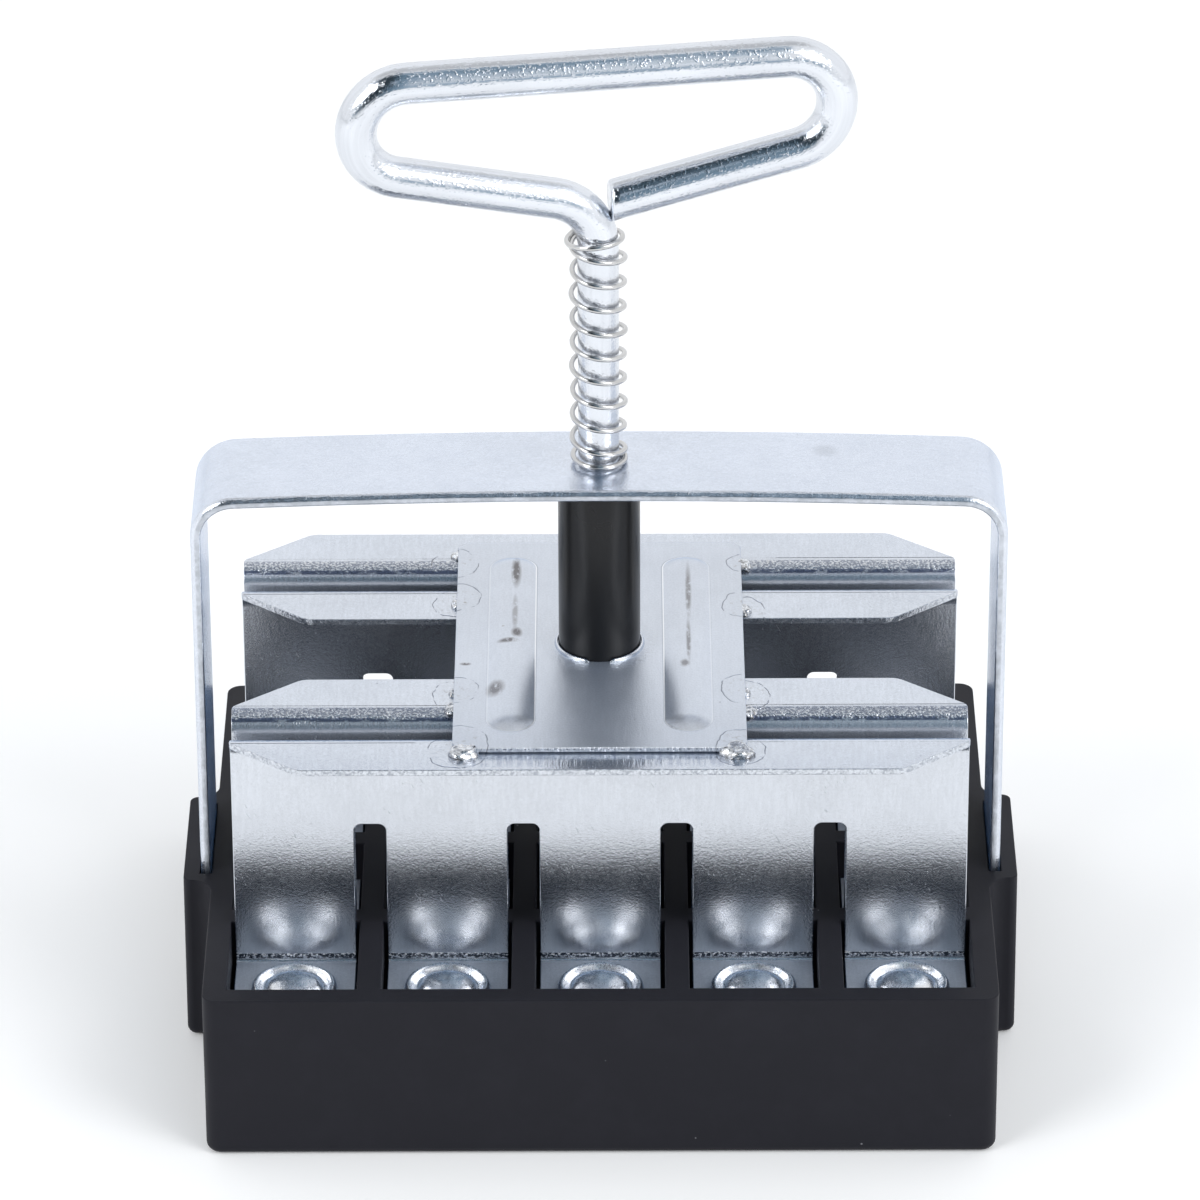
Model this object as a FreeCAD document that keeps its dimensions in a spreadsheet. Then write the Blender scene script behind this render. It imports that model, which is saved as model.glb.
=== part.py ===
import FreeCAD, Part
import math
import operator
import os

import Sketcher
from FreeCAD import Placement, Rotation, Vector

# Hand-held soil blocker for twenty 3/4 inch cubes of potting mix.
#
# A moulded plastic box holds five columns and four rows of open cells. A bent steel
# strap stands in two ears of the box. A spring-returned pusher hangs in the strap on a
# round rod whose upper end is bent into a handle loop. The pusher is four C-shaped
# sheets back to back in two pairs, welded under a bridge plate. Each sheet has five
# tongues, whose feet press the soil out of the cells when the handle is pushed down.
#
# Frame: +Z up, X along the five columns, Y along the four rows, the origin at the
# centre of the box's underside. All lengths are in millimetres.

COLUMNS = 5
ROWS = 4

SIZES = [
    ("cell_size", 19.0, "inside width of a soil cell, both ways"),
    ("cell_pitch", 22.5, "distance from one cell to the next, both ways"),
    ("outer_wall", 3.5, "thickness of the box's outer walls"),
    ("mould_height", 26.5, "height of the box"),
    ("mould_corner_radius", 2.2, "round of the box's outer corners"),
    ("ear_wall", 2.4, "thickness of the ear outside the strap"),
    ("ear_cheek", 2.1, "thickness of the ear beside the strap"),
    ("ear_corner_radius", 1.3, "round of the ear's upright edges"),
    ("ear_root_radius", 3.0, "round where the ear's sides meet the box's end wall"),
    ("ear_foot_radius", 1.4, "round under the ear"),
    ("ear_foot_flare", 1.5, "growth of the ear's half width towards its foot"),
    ("slot_floor", 3.0, "height of the floor of the ear's slot"),
    ("slot_side_gap", 0.3, "play beside the strap in the ear's slot"),
    ("slot_face_gap", 0.15, "play in front of and behind the strap in the slot"),
    ("strap_wall_gap", 0.2, "distance from the box's wall to the strap"),
    ("strap_width", 20.0, "width of the flat bar"),
    ("strap_thickness", 1.5, "thickness of the flat bar"),
    ("strap_top", 90.5, "height of the strap's crown"),
    ("strap_crown_radius", 1350.0, "radius of the slight crown of the strap's top"),
    ("strap_corner_radius", 6.5, "outside radius of the strap's two bends"),
    ("strap_end_chamfer", 2.0, "corner cut at the lower ends of the strap"),
    ("screw_height", 13.0, "height of the two screws that hold the strap"),
    ("screw_diameter", 3.0, "shank of the strap screw"),
    ("screw_length", 4.3, "shank length of the strap screw"),
    ("screw_head_diameter", 6.4, "head of the strap screw"),
    ("screw_head_height", 1.9, "height of the strap screw's head"),
    ("screw_hole_gap", 0.2, "play of the screw in the strap's hole"),
    ("screw_access_gap", 0.5, "play of the screw's head in the ear's outer wall"),
    ("thread_gap", 0.02, "gap that stands for a cut thread"),
    ("sheet_thickness", 1.0, "thickness of the pusher's sheets"),
    ("wall_clearance", 0.4, "running gap between a pusher sheet and the cell walls in Y"),
    ("side_clearance", 0.6, "running gap between a tongue and the cell walls in X"),
    ("foot_underside", 19.5, "height of the feet's underside at rest"),
    ("flange_top", 59.0, "height of the pusher flanges at rest"),
    ("flange_reach", 11.25, "depth of a flange, from the sheet's back face"),
    ("flange_bend_radius", 3.4, "outside radius of the bend under the flange"),
    ("foot_bend_radius", 1.5, "outside radius of the bend above the foot"),
    ("flange_cut_length", 10.0, "length of the flange's slanted corner along X"),
    ("flange_cut_depth", 8.0, "depth of the flange's slanted corner along Y"),
    ("flange_corner_radius", 3.0, "round of a slanted corner's end at the flange's edge"),
    ("flange_side_radius", 1.2, "round of a slanted corner's end at the sheet's side"),
    ("slot_top", 43.9, "height of the top of the slots between the tongues"),
    ("slot_corner_radius", 1.1, "round of the slots' upper corners"),
    ("stud_shank", 4.0, "shank of a dimple stud"),
    ("stud_hole_gap", 0.05, "play around a dimple stud's shank"),
    ("stud_head_diameter", 11.0, "domed head of a dimple stud"),
    ("stud_head_height", 2.5, "height of a dimple stud's head"),
    ("stud_pin_length", 3.2, "length of a dimple stud's pin under the foot"),
    ("plate_thickness", 1.0, "thickness of the bridge plate"),
    ("plate_length", 62.6, "length of the bridge plate along Y"),
    ("plate_width", 42.8, "width of the bridge plate along X"),
    ("plate_corner_cut", 1.5, "corner cut of the bridge plate"),
    ("rib_offset", 13.0, "distance of a stiffening rib from the middle"),
    ("rib_width", 7.0, "width of a stiffening rib"),
    ("rib_skin", 1.5, "width of the rib's slope beside the hollow under it"),
    ("rib_length", 52.8, "length of a stiffening rib"),
    ("rib_height", 1.0, "height of a stiffening rib above the plate"),
    ("lip_thickness", 0.5, "thickness of the collar lips around the sleeve"),
    ("lip_height", 0.6, "height of the collar lips above the plate"),
    ("lip_opening", 3.0, "gap between the two collar lips"),
    ("lip_gap", 0.1, "play between the sleeve and the collar lips"),
    ("sleeve_diameter", 12.1, "outside of the stop sleeve"),
    ("sleeve_bore_gap", 0.15, "play between the sleeve and the rod"),
    ("sleeve_stop_gap", 0.05, "gap between the sleeve and the strap at rest"),
    ("rod_diameter", 6.0, "diameter of the handle rod"),
    ("rod_guide_gap", 0.1, "running gap between the rod and the strap's hole"),
    ("spigot_diameter", 5.0, "turned-down lower end of the rod"),
    ("spigot_gap", 0.1, "play of the spigot in the bridge plate and the washer"),
    ("spigot_tail", 1.2, "length of the spigot beyond the nut"),
    ("washer_diameter", 12.0, "outside of the washer under the bridge plate"),
    ("washer_thickness", 1.2, "thickness of the washer"),
    ("nut_across_flats", 8.0, "width of the nut across its flats"),
    ("nut_height", 4.0, "height of the nut"),
    ("grip_height", 153.4, "height of the grip bar's centre line"),
    ("loop_half_width", 34.85, "half the width of the handle loop, on the centre line"),
    ("loop_end_radius", 7.4, "centre line radius of the loop's two ends"),
    ("loop_slope_angle", 12.7, "slope of the loop's lower bars in degrees"),
    ("loop_turn_angle", 9.0, "turn of the handle loop about the rod in degrees"),
    ("neck_radius", 8.0, "centre line radius of the bend from loop to rod"),
    ("loop_end_offset", 1.7, "distance of the bar's cut end from the rod's axis"),
    ("wire_diameter", 0.8, "wire of the return spring"),
    ("spring_bore_gap", 0.45, "gap between the spring and the rod"),
    ("spring_past_neck", 2.05, "height of the spring's upper end above the rod's straight part"),
    ("coil_gap", 0.1, "gap between the closed coils at the spring's ends"),
    ("spring_seat_gap", 0.05, "gap between the spring and the strap"),
    ("weld_radius", 1.7, "radius of a tack weld bead at its foot"),
    ("weld_crown_radius", 1.0, "radius of a tack weld bead at its crown"),
    ("front_weld_offset", 19.6, "distance of a front weld from the middle, along X"),
    ("inner_weld_offset", 8.6, "distance of an inner flange's weld from its pair's middle"),
    ("outer_weld_offset", 5.9, "distance of the rear flange's weld from its pair's middle"),
]
ACTIVE_COILS = 9
HEXAGON = 6

document = FreeCAD.newDocument("soil_blocker")


# ---------------------------------------------------------------- driving sizes

ARITHMETIC = {"+": operator.add, "-": operator.sub, "*": operator.mul, "/": operator.truediv}


class Size:
    """A number that remembers the spreadsheet formula it comes from."""

    def __init__(self, number, formula):
        self.number = float(number)
        self.formula = formula

    def __float__(self):
        return self.number

    def __neg__(self):
        return combine(0, "-", self)

    def __add__(self, other):
        return combine(self, "+", other)

    def __radd__(self, other):
        return combine(other, "+", self)

    def __sub__(self, other):
        return combine(self, "-", other)

    def __rsub__(self, other):
        return combine(other, "-", self)

    def __mul__(self, other):
        return combine(self, "*", other)

    def __rmul__(self, other):
        return combine(other, "*", self)

    def __truediv__(self, other):
        return combine(self, "/", other)


def as_size(value):
    """Return the value as a Size, also where it is a plain number."""
    return value if isinstance(value, Size) else Size(value, "(%r)" % float(value))


def combine(left, sign, right):
    """Join two sizes with an arithmetic sign, in the number and in the formula."""
    left = as_size(left)
    right = as_size(right)
    number = ARITHMETIC[sign](left.number, right.number)
    return Size(number, "(%s %s %s)" % (left.formula, sign, right.formula))


def root(size):
    """Square root of a size."""
    return Size(math.sqrt(size.number), "sqrt(%s)" % size.formula)


def sine(angle):
    """Sine of an angle in degrees."""
    return Size(math.sin(math.radians(angle.number)), "sin(%s)" % angle.formula)


def cosine(angle):
    """Cosine of an angle in degrees."""
    return Size(math.cos(math.radians(angle.number)), "cos(%s)" % angle.formula)


def tangent(angle):
    """Tangent of an angle in degrees."""
    return Size(math.tan(math.radians(angle.number)), "tan(%s)" % angle.formula)


def make_sheet():
    """Write the driving sizes into the document's spreadsheet."""
    sheet = document.addObject("Spreadsheet::Sheet", "sizes")
    for row, (alias, value, meaning) in enumerate(SIZES, start=1):
        sheet.set("A%d" % row, alias)
        sheet.set("B%d" % row, str(value))
        sheet.set("C%d" % row, meaning)
        sheet.setAlias("B%d" % row, alias)
    document.recompute()
    return sheet


class Sizes:
    """Reads the spreadsheet's cells by their aliases."""

    def __init__(self, sheet):
        self.sheet = sheet

    def __getattr__(self, alias):
        return Size(self.sheet.get(alias), "sizes." + alias)


S = Sizes(make_sheet())

# Sizes that follow from the driving ones.
CELL_WALL = S.cell_pitch - S.cell_size
MOULD_LENGTH = S.cell_pitch * (COLUMNS - 1) + S.cell_size + S.outer_wall * 2
MOULD_DEPTH = S.cell_pitch * (ROWS - 1) + S.cell_size + S.outer_wall * 2
STRAP_INNER = MOULD_LENGTH / 2 + S.strap_wall_gap
STRAP_OUTER = STRAP_INNER + S.strap_thickness
SLOT_INNER = STRAP_INNER - S.slot_face_gap
SLOT_OUTER = STRAP_OUTER + S.slot_face_gap
SLOT_HALF_WIDTH = S.strap_width / 2 + S.slot_side_gap
EAR_OUTER = SLOT_OUTER + S.ear_wall
EAR_HALF_WIDTH = SLOT_HALF_WIDTH + S.ear_cheek
TONGUE_WIDTH = S.cell_size - S.side_clearance * 2
TONGUE_SLOT = S.cell_pitch - TONGUE_WIDTH
SHEET_WIDTH = S.cell_pitch * (COLUMNS - 1) + TONGUE_WIDTH
PAIR_MIDDLE = S.cell_pitch * (ROWS / 4)
SHEET_BACK = CELL_WALL / 2 + S.wall_clearance
FOOT_REACH = S.cell_size - S.wall_clearance * 2
FOOT_TOP = S.foot_underside + S.sheet_thickness
STUD_PLACE = (S.sheet_thickness + FOOT_REACH) / 2
PLATE_TOP = S.flange_top + S.plate_thickness
STRAP_UNDERSIDE = S.strap_top - S.strap_thickness
ROD_RADIUS = S.rod_diameter / 2
SPRING_RADIUS = ROD_RADIUS + S.spring_bore_gap + S.wire_diameter / 2
SPRING_BOTTOM = S.strap_top + S.spring_seat_gap + S.wire_diameter / 2
NUT_TOP = S.flange_top - S.washer_thickness

# The handle loop in its own plane: centres of its two ends, the lower bars' upper ends,
# the point where their lines meet over the rod, and the start of the neck's bend.
SLOPE_SINE = sine(S.loop_slope_angle)
SLOPE_COSINE = cosine(S.loop_slope_angle)
LOOP_END_X = S.loop_half_width - S.loop_end_radius
LOOP_END_Z = S.grip_height - S.loop_end_radius
LOWER_BAR_X = LOOP_END_X + S.loop_end_radius * SLOPE_SINE
LOWER_BAR_Z = LOOP_END_Z - S.loop_end_radius * SLOPE_COSINE
BARS_MEET_Z = LOWER_BAR_Z - LOWER_BAR_X * SLOPE_SINE / SLOPE_COSINE
NECK_BEND_RUN = S.neck_radius * tangent((90 - S.loop_slope_angle) / 2)
NECK_Z = BARS_MEET_Z - NECK_BEND_RUN


# ---------------------------------------------------------------- drawing helpers

def new_body(label):
    """Make an empty body that carries the sub-part's name."""
    body = document.addObject("PartDesign::Body", label)
    body.Label = label
    body.AllowCompound = True
    return body


def new_sketch(body, name, plane, height=None):
    """Attach a sketch to an origin plane of its body, lifted along the plane's normal."""
    sketch = body.newObject("Sketcher::SketchObject", name)
    support = next(item for item in body.Origin.OriginFeatures if item.Role == plane)
    sketch.AttachmentSupport = [(support, "")]
    sketch.MapMode = "FlatFace"
    if height is not None:
        sketch.AttachmentOffset = Placement(Vector(0, 0, float(height)), Rotation())
        sketch.setExpression("AttachmentOffset.Base.z", as_size(height).formula)
    return sketch


def flat(point):
    """The point of two sizes as a vector in the sketch's plane."""
    return Vector(float(point[0]), float(point[1]), 0)


def hold(sketch, geometry, end, point):
    """Tie a point of the sketch's geometry to its place with two dimensions."""
    for kind, size in zip(("DistanceX", "DistanceY"), point):
        limit = Sketcher.Constraint(kind, -1, 1, geometry, end, float(size))
        number = sketch.addConstraint(limit)
        sketch.setExpression("Constraints[%d]" % number, as_size(size).formula)


def draw_arc(sketch, start, end, centre, radius):
    """Draw the short arc between two held points; returns its first and last end number."""
    first = flat(start) - flat(centre)
    last = flat(end) - flat(centre)
    turns_left = first.cross(last).z > 0
    angles = [math.atan2(first.y, first.x), math.atan2(last.y, last.x)]
    if not turns_left:
        angles.reverse()
    circle = Part.Circle(flat(centre), Vector(0, 0, 1), float(radius))
    index = sketch.addGeometry(Part.ArcOfCircle(circle, angles[0], angles[1]))
    number = sketch.addConstraint(Sketcher.Constraint("Radius", index, float(radius)))
    sketch.setExpression("Constraints[%d]" % number, as_size(radius).formula)
    return (1, 2) if turns_left else (2, 1)


def outline(sketch, points, arcs=None, closed=True):
    """Join the points with lines, and with an arc after each point listed in arcs."""
    arcs = arcs or {}
    spans = len(points) if closed else len(points) - 1
    first = sketch.GeometryCount
    ends = []
    for index in range(spans):
        start = points[index]
        end = points[(index + 1) % len(points)]
        if index in arcs:
            centre, radius = arcs[index]
            ends.append(draw_arc(sketch, start, end, centre, radius))
        else:
            sketch.addGeometry(Part.LineSegment(flat(start), flat(end)))
            ends.append((1, 2))
    for index in range(spans):
        following = (index + 1) % spans
        if closed or following:
            joint = Sketcher.Constraint(
                "Coincident", first + index, ends[index][1], first + following, ends[following][0])
            sketch.addConstraint(joint)
        hold(sketch, first + index, ends[index][0], points[index])
    if not closed:
        hold(sketch, first + spans - 1, ends[-1][1], points[-1])


def rectangle(sketch, low, high):
    """Draw a rectangle between its low and high corners."""
    outline(sketch, [low, (high[0], low[1]), high, (low[0], high[1])])


def circle(sketch, centre, radius):
    """Draw a circle about a held centre."""
    index = sketch.addGeometry(Part.Circle(flat(centre), Vector(0, 0, 1), float(radius)))
    number = sketch.addConstraint(Sketcher.Constraint("Radius", index, float(radius)))
    sketch.setExpression("Constraints[%d]" % number, as_size(radius).formula)
    hold(sketch, index, 3, centre)


def pad(body, sketch, length, both_sides=False, upside_down=False):
    """Grow the sketch into a solid."""
    feature = body.newObject("PartDesign::Pad", sketch.Name + "_pad")
    feature.Profile = sketch
    feature.setExpression("Length", as_size(length).formula)
    feature.Midplane = both_sides
    feature.Reversed = upside_down
    return feature


def pocket(body, sketch, length=None):
    """Cut the sketch out against its normal, or right through both ways with no length."""
    feature = body.newObject("PartDesign::Pocket", sketch.Name + "_cut")
    feature.Profile = sketch
    if length is None:
        feature.Type = "ThroughAll"
        feature.Midplane = True
    else:
        feature.setExpression("Length", as_size(length).formula)
    return feature


def row_of(body, feature, sketch, count, length):
    """Repeat a feature along the sketch's X direction."""
    pattern = body.newObject("PartDesign::LinearPattern", feature.Name + "_row")
    pattern.Originals = [feature]
    pattern.Direction = (sketch, ["H_Axis"])
    pattern.setExpression("Length", as_size(length).formula)
    pattern.Occurrences = count
    body.Tip = pattern
    return pattern


def mirror(body, features, sketch, axis):
    """Mirror features about one of the sketch's axes."""
    pattern = body.newObject("PartDesign::Mirrored", features[-1].Name + "_mirror")
    pattern.Originals = features
    pattern.MirrorPlane = (sketch, [axis])
    body.Tip = pattern
    return pattern


def edge_names(feature, chosen):
    """Names of the feature's edges that the test chooses by their middle and direction."""
    names = []
    for number, edge in enumerate(feature.Shape.Edges, start=1):
        span = edge.LastParameter - edge.FirstParameter
        middle = edge.valueAt(edge.FirstParameter + span / 2)
        direction = edge.tangentAt(edge.FirstParameter + span / 2)
        if chosen(middle, direction):
            names.append("Edge%d" % number)
    return names


def along(direction, axis):
    """Whether a direction runs along the axis named X, Y or Z."""
    part = {"X": direction.x, "Y": direction.y, "Z": direction.z}[axis]
    return abs(abs(part) - 1) < 1e-6


def near(value, size):
    """Whether a coordinate lies at a size."""
    return abs(value - float(size)) < 1e-4


def round_edges(body, feature, name, radius, chosen):
    """Round the chosen edges of a feature."""
    document.recompute()
    fillet = body.newObject("PartDesign::Fillet", name)
    fillet.Base = (feature, edge_names(feature, chosen))
    fillet.setExpression("Radius", as_size(radius).formula)
    return fillet


def cut_edges(body, feature, name, length, chosen):
    """Cut the chosen edges of a feature at 45 degrees."""
    document.recompute()
    chamfer = body.newObject("PartDesign::Chamfer", name)
    chamfer.Base = (feature, edge_names(feature, chosen))
    chamfer.setExpression("Size", as_size(length).formula)
    return chamfer


def place(item, x=0, y=0, z=0, turn=0):
    """Put a sub-part in its place, turned about the upright axis, tied to the sizes."""
    item.Placement = Placement(Vector(float(x), float(y), float(z)), Rotation(float(turn), 0, 0))
    for axis, size in (("x", x), ("y", y), ("z", z)):
        item.setExpression("Placement.Base." + axis, as_size(size).formula)
    if isinstance(turn, Size):
        item.setExpression("Placement.Rotation.Angle", turn.formula)


# ---------------------------------------------------------------- the mould

def make_mould_box():
    """Open grid of cells with an ear at each end that takes a leg of the strap."""
    body = new_body("mould_box")
    shell = new_sketch(body, "shell", "XY_Plane")
    rectangle(shell, (-MOULD_LENGTH / 2, -MOULD_DEPTH / 2), (MOULD_LENGTH / 2, MOULD_DEPTH / 2))
    pad(body, shell, S.mould_height)

    root_line = MOULD_LENGTH / 2 - S.outer_wall / 2
    foot_half_width = EAR_HALF_WIDTH + S.ear_foot_flare
    ear = new_sketch(body, "ear", "YZ_Plane", root_line)
    outline(ear, [
        (-foot_half_width, 0),
        (foot_half_width, 0),
        (EAR_HALF_WIDTH, S.mould_height),
        (-EAR_HALF_WIDTH, S.mould_height),
    ])
    right_ear = pad(body, ear, EAR_OUTER - root_line)
    solid = mirror(body, [right_ear], shell, "V_Axis")

    solid = round_edges(
        body, solid, "box_corners", S.mould_corner_radius,
        lambda middle, direction: along(direction, "Z")
        and near(abs(middle.x), MOULD_LENGTH / 2) and near(abs(middle.y), MOULD_DEPTH / 2))
    solid = round_edges(
        body, solid, "ear_corners", S.ear_corner_radius,
        lambda middle, direction: not along(direction, "Y") and near(abs(middle.x), EAR_OUTER))
    solid = round_edges(
        body, solid, "ear_roots", S.ear_root_radius,
        lambda middle, direction: near(abs(middle.x), MOULD_LENGTH / 2)
        and near(abs(middle.y), (EAR_HALF_WIDTH + foot_half_width) / 2))
    round_edges(
        body, solid, "ear_feet", S.ear_foot_radius,
        lambda middle, direction: along(direction, "Y")
        and near(abs(middle.x), EAR_OUTER) and near(middle.z, 0))

    cells = new_sketch(body, "cells", "XY_Plane")
    left = -S.cell_pitch * (COLUMNS - 1) / 2 - S.cell_size / 2
    for row in range(ROWS):
        front = S.cell_pitch * (row - (ROWS - 1) / 2) - S.cell_size / 2
        rectangle(cells, (left, front), (left + S.cell_size, front + S.cell_size))
    column = pocket(body, cells)
    row_of(body, column, cells, COLUMNS, S.cell_pitch * (COLUMNS - 1))

    slots = new_sketch(body, "strap_slots", "XY_Plane", S.mould_height)
    rectangle(slots, (-SLOT_OUTER, -SLOT_HALF_WIDTH), (-SLOT_INNER, SLOT_HALF_WIDTH))
    rectangle(slots, (SLOT_INNER, -SLOT_HALF_WIDTH), (SLOT_OUTER, SLOT_HALF_WIDTH))
    pocket(body, slots, S.mould_height - S.slot_floor)

    access = new_sketch(body, "screw_access", "YZ_Plane", EAR_OUTER)
    circle(access, (0, S.screw_height), S.screw_head_diameter / 2 + S.screw_access_gap)
    access_cut = pocket(body, access, S.ear_wall + S.slot_face_gap)
    pilot = new_sketch(body, "screw_pilot", "YZ_Plane", STRAP_INNER)
    circle(pilot, (0, S.screw_height), S.screw_diameter / 2 + S.thread_gap)
    pilot_depth = S.screw_length - S.strap_thickness + S.screw_access_gap
    pilot_cut = pocket(body, pilot, pilot_depth)
    mirror(body, [access_cut, pilot_cut], shell, "V_Axis")
    return body


# ---------------------------------------------------------------- the strap and its screws

def make_strap_frame():
    """Flat bar bent to a U that stands upside down in the box's ears."""
    body = new_body("strap_frame")
    profile = new_sketch(body, "bent_bar", "XZ_Plane")
    crown_centre = S.strap_top - S.strap_crown_radius
    bend_x = STRAP_OUTER - S.strap_corner_radius
    arm = S.strap_crown_radius - S.strap_corner_radius
    rise = root(arm * arm - bend_x * bend_x)
    bend_z = crown_centre + rise

    def crown_end(radius):
        return bend_x * radius / arm, crown_centre + rise * radius / arm

    inner_crown = S.strap_crown_radius - S.strap_thickness
    inner_bend = S.strap_corner_radius - S.strap_thickness
    outer_end = crown_end(S.strap_crown_radius)
    inner_end = crown_end(inner_crown)
    points = [
        (STRAP_OUTER, S.slot_floor),
        (STRAP_OUTER, bend_z),
        outer_end,
        (-outer_end[0], outer_end[1]),
        (-STRAP_OUTER, bend_z),
        (-STRAP_OUTER, S.slot_floor),
        (-STRAP_INNER, S.slot_floor),
        (-STRAP_INNER, bend_z),
        (-inner_end[0], inner_end[1]),
        inner_end,
        (STRAP_INNER, bend_z),
        (STRAP_INNER, S.slot_floor),
    ]
    arcs = {
        1: ((bend_x, bend_z), S.strap_corner_radius),
        2: ((0, crown_centre), S.strap_crown_radius),
        3: ((-bend_x, bend_z), S.strap_corner_radius),
        7: ((-bend_x, bend_z), inner_bend),
        8: ((0, crown_centre), inner_crown),
        9: ((bend_x, bend_z), inner_bend),
    }
    outline(profile, points, arcs)
    pad(body, profile, S.strap_width, both_sides=True)

    rod_hole = new_sketch(body, "rod_hole", "XY_Plane")
    circle(rod_hole, (0, 0), ROD_RADIUS + S.rod_guide_gap)
    pocket(body, rod_hole)
    screw_holes = new_sketch(body, "screw_holes", "YZ_Plane")
    circle(screw_holes, (0, S.screw_height), S.screw_diameter / 2 + S.screw_hole_gap)
    solid = pocket(body, screw_holes)
    cut_edges(
        body, solid, "leg_ends", S.strap_end_chamfer,
        lambda middle, direction: along(direction, "X")
        and near(middle.z, S.slot_floor) and near(abs(middle.y), S.strap_width / 2))
    return body


def make_strap_screws():
    """Two pan head screws through the strap's legs into the box's end walls."""
    body = new_body("strap_screws")
    profile = new_sketch(body, "screw_half", "XZ_Plane", 0)
    head = STRAP_OUTER + S.screw_head_height
    radius = S.screw_head_diameter / 2
    slope = S.screw_head_height / 2
    tip = STRAP_OUTER - S.screw_length
    shank = S.screw_diameter / 2
    axis_height = S.screw_height
    points = [
        (tip, axis_height),
        (tip, axis_height + shank),
        (STRAP_OUTER, axis_height + shank),
        (STRAP_OUTER, axis_height + radius),
        (head - slope, axis_height + radius),
        (head, axis_height + radius - slope),
        (head, axis_height),
    ]
    outline(profile, points)
    screw = body.newObject("PartDesign::Revolution", "screw")
    screw.Profile = profile
    screw.ReferenceAxis = (profile, ["Edge%d" % len(points)])
    screw.Angle = 360
    mirror(body, [screw], profile, "V_Axis")
    return body


# ---------------------------------------------------------------- the pusher

def make_pusher_plate(label, pair_middle, turn):
    """C-shaped sheet: a welding flange on top, five tongues, and a foot under each."""
    body = new_body(label)
    thickness = S.sheet_thickness
    profile = new_sketch(body, label + "_section", "YZ_Plane")
    outline(profile, [
        (0, S.foot_underside),
        (0, S.flange_top),
        (-S.flange_reach, S.flange_top),
        (-S.flange_reach, S.flange_top - thickness),
        (-thickness, S.flange_top - thickness),
        (-thickness, FOOT_TOP),
        (-FOOT_REACH, FOOT_TOP),
        (-FOOT_REACH, S.foot_underside),
    ])
    solid = pad(body, profile, SHEET_WIDTH, both_sides=True)

    def bend(name, radius, y, z):
        return round_edges(
            body, solid, label + name, radius,
            lambda middle, direction: along(direction, "X") and near(middle.y, y) and near(middle.z, z))

    solid = bend("_upper_bend_outside", S.flange_bend_radius, 0, S.flange_top)
    solid = bend("_upper_bend_inside", S.flange_bend_radius - thickness,
                 -thickness, S.flange_top - thickness)
    solid = bend("_lower_bend_outside", S.foot_bend_radius, 0, S.foot_underside)
    solid = bend("_lower_bend_inside", S.foot_bend_radius - thickness, -thickness, FOOT_TOP)

    slot = new_sketch(body, label + "_slot", "XZ_Plane")
    left = -S.cell_pitch * (COLUMNS - 2) / 2 - TONGUE_SLOT / 2
    rectangle(slot, (left, S.foot_underside - thickness), (left + TONGUE_SLOT, S.slot_top))
    first_slot = pocket(body, slot)
    solid = row_of(body, first_slot, slot, COLUMNS - 1, S.cell_pitch * (COLUMNS - 2))
    solid = round_edges(
        body, solid, label + "_slot_corners", S.slot_corner_radius,
        lambda middle, direction: along(direction, "Y") and near(middle.z, S.slot_top))

    corners = new_sketch(body, label + "_corners", "XY_Plane", S.flange_top)
    edge = SHEET_WIDTH / 2
    for side in (-1, 1):
        outline(corners, [
            (edge * side, -S.flange_reach + S.flange_cut_depth),
            (edge * side, -S.flange_reach),
            ((edge - S.flange_cut_length) * side, -S.flange_reach),
        ])
    solid = pocket(body, corners, thickness * 2)
    solid = round_edges(
        body, solid, label + "_flange_corners", S.flange_corner_radius,
        lambda middle, direction: along(direction, "Z") and near(middle.y, -S.flange_reach)
        and near(abs(middle.x), edge - S.flange_cut_length))
    solid = round_edges(
        body, solid, label + "_flange_sides", S.flange_side_radius,
        lambda middle, direction: along(direction, "Z") and near(abs(middle.x), edge)
        and near(middle.y, -S.flange_reach + S.flange_cut_depth))

    stud_hole = new_sketch(body, label + "_stud_hole", "XY_Plane", FOOT_TOP)
    circle(stud_hole, (-S.cell_pitch * (COLUMNS - 1) / 2, -STUD_PLACE),
           S.stud_shank / 2 + S.stud_hole_gap)
    first_hole = pocket(body, stud_hole, thickness * 2)
    row_of(body, first_hole, stud_hole, COLUMNS, S.cell_pitch * (COLUMNS - 1))
    seat_sheet(body, pair_middle, turn)
    return body


def seat_sheet(body, pair_middle, turn):
    """Put a sheet, or what it carries, with its back towards the middle of its pair."""
    back = pair_middle - SHEET_BACK if turn == 0 else pair_middle + SHEET_BACK
    place(body, y=back, turn=turn)


def make_dimple_studs(label, pair_middle, turn):
    """A row of domed studs, one in each foot, whose pins press the seed dimples."""
    body = new_body(label)
    profile = new_sketch(body, label + "_half", "XZ_Plane", STUD_PLACE)
    middle = -S.cell_pitch * (COLUMNS - 1) / 2
    head = S.stud_head_diameter / 2
    shank = S.stud_shank / 2
    height = S.stud_head_height
    crown = FOOT_TOP + height
    dome_radius = (head * head + height * height) / (height * 2)
    tip = S.foot_underside - S.stud_pin_length
    points = [
        (middle, tip),
        (middle + shank, tip),
        (middle + shank, FOOT_TOP),
        (middle + head, FOOT_TOP),
        (middle, crown),
    ]
    outline(profile, points, {3: ((middle, crown - dome_radius), dome_radius)})
    stud = body.newObject("PartDesign::Revolution", label + "_first")
    stud.Profile = profile
    stud.ReferenceAxis = (profile, ["Edge%d" % len(points)])
    stud.Angle = 360
    row_of(body, stud, profile, COLUMNS, S.cell_pitch * (COLUMNS - 1))
    seat_sheet(body, pair_middle, turn)
    return body


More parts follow.
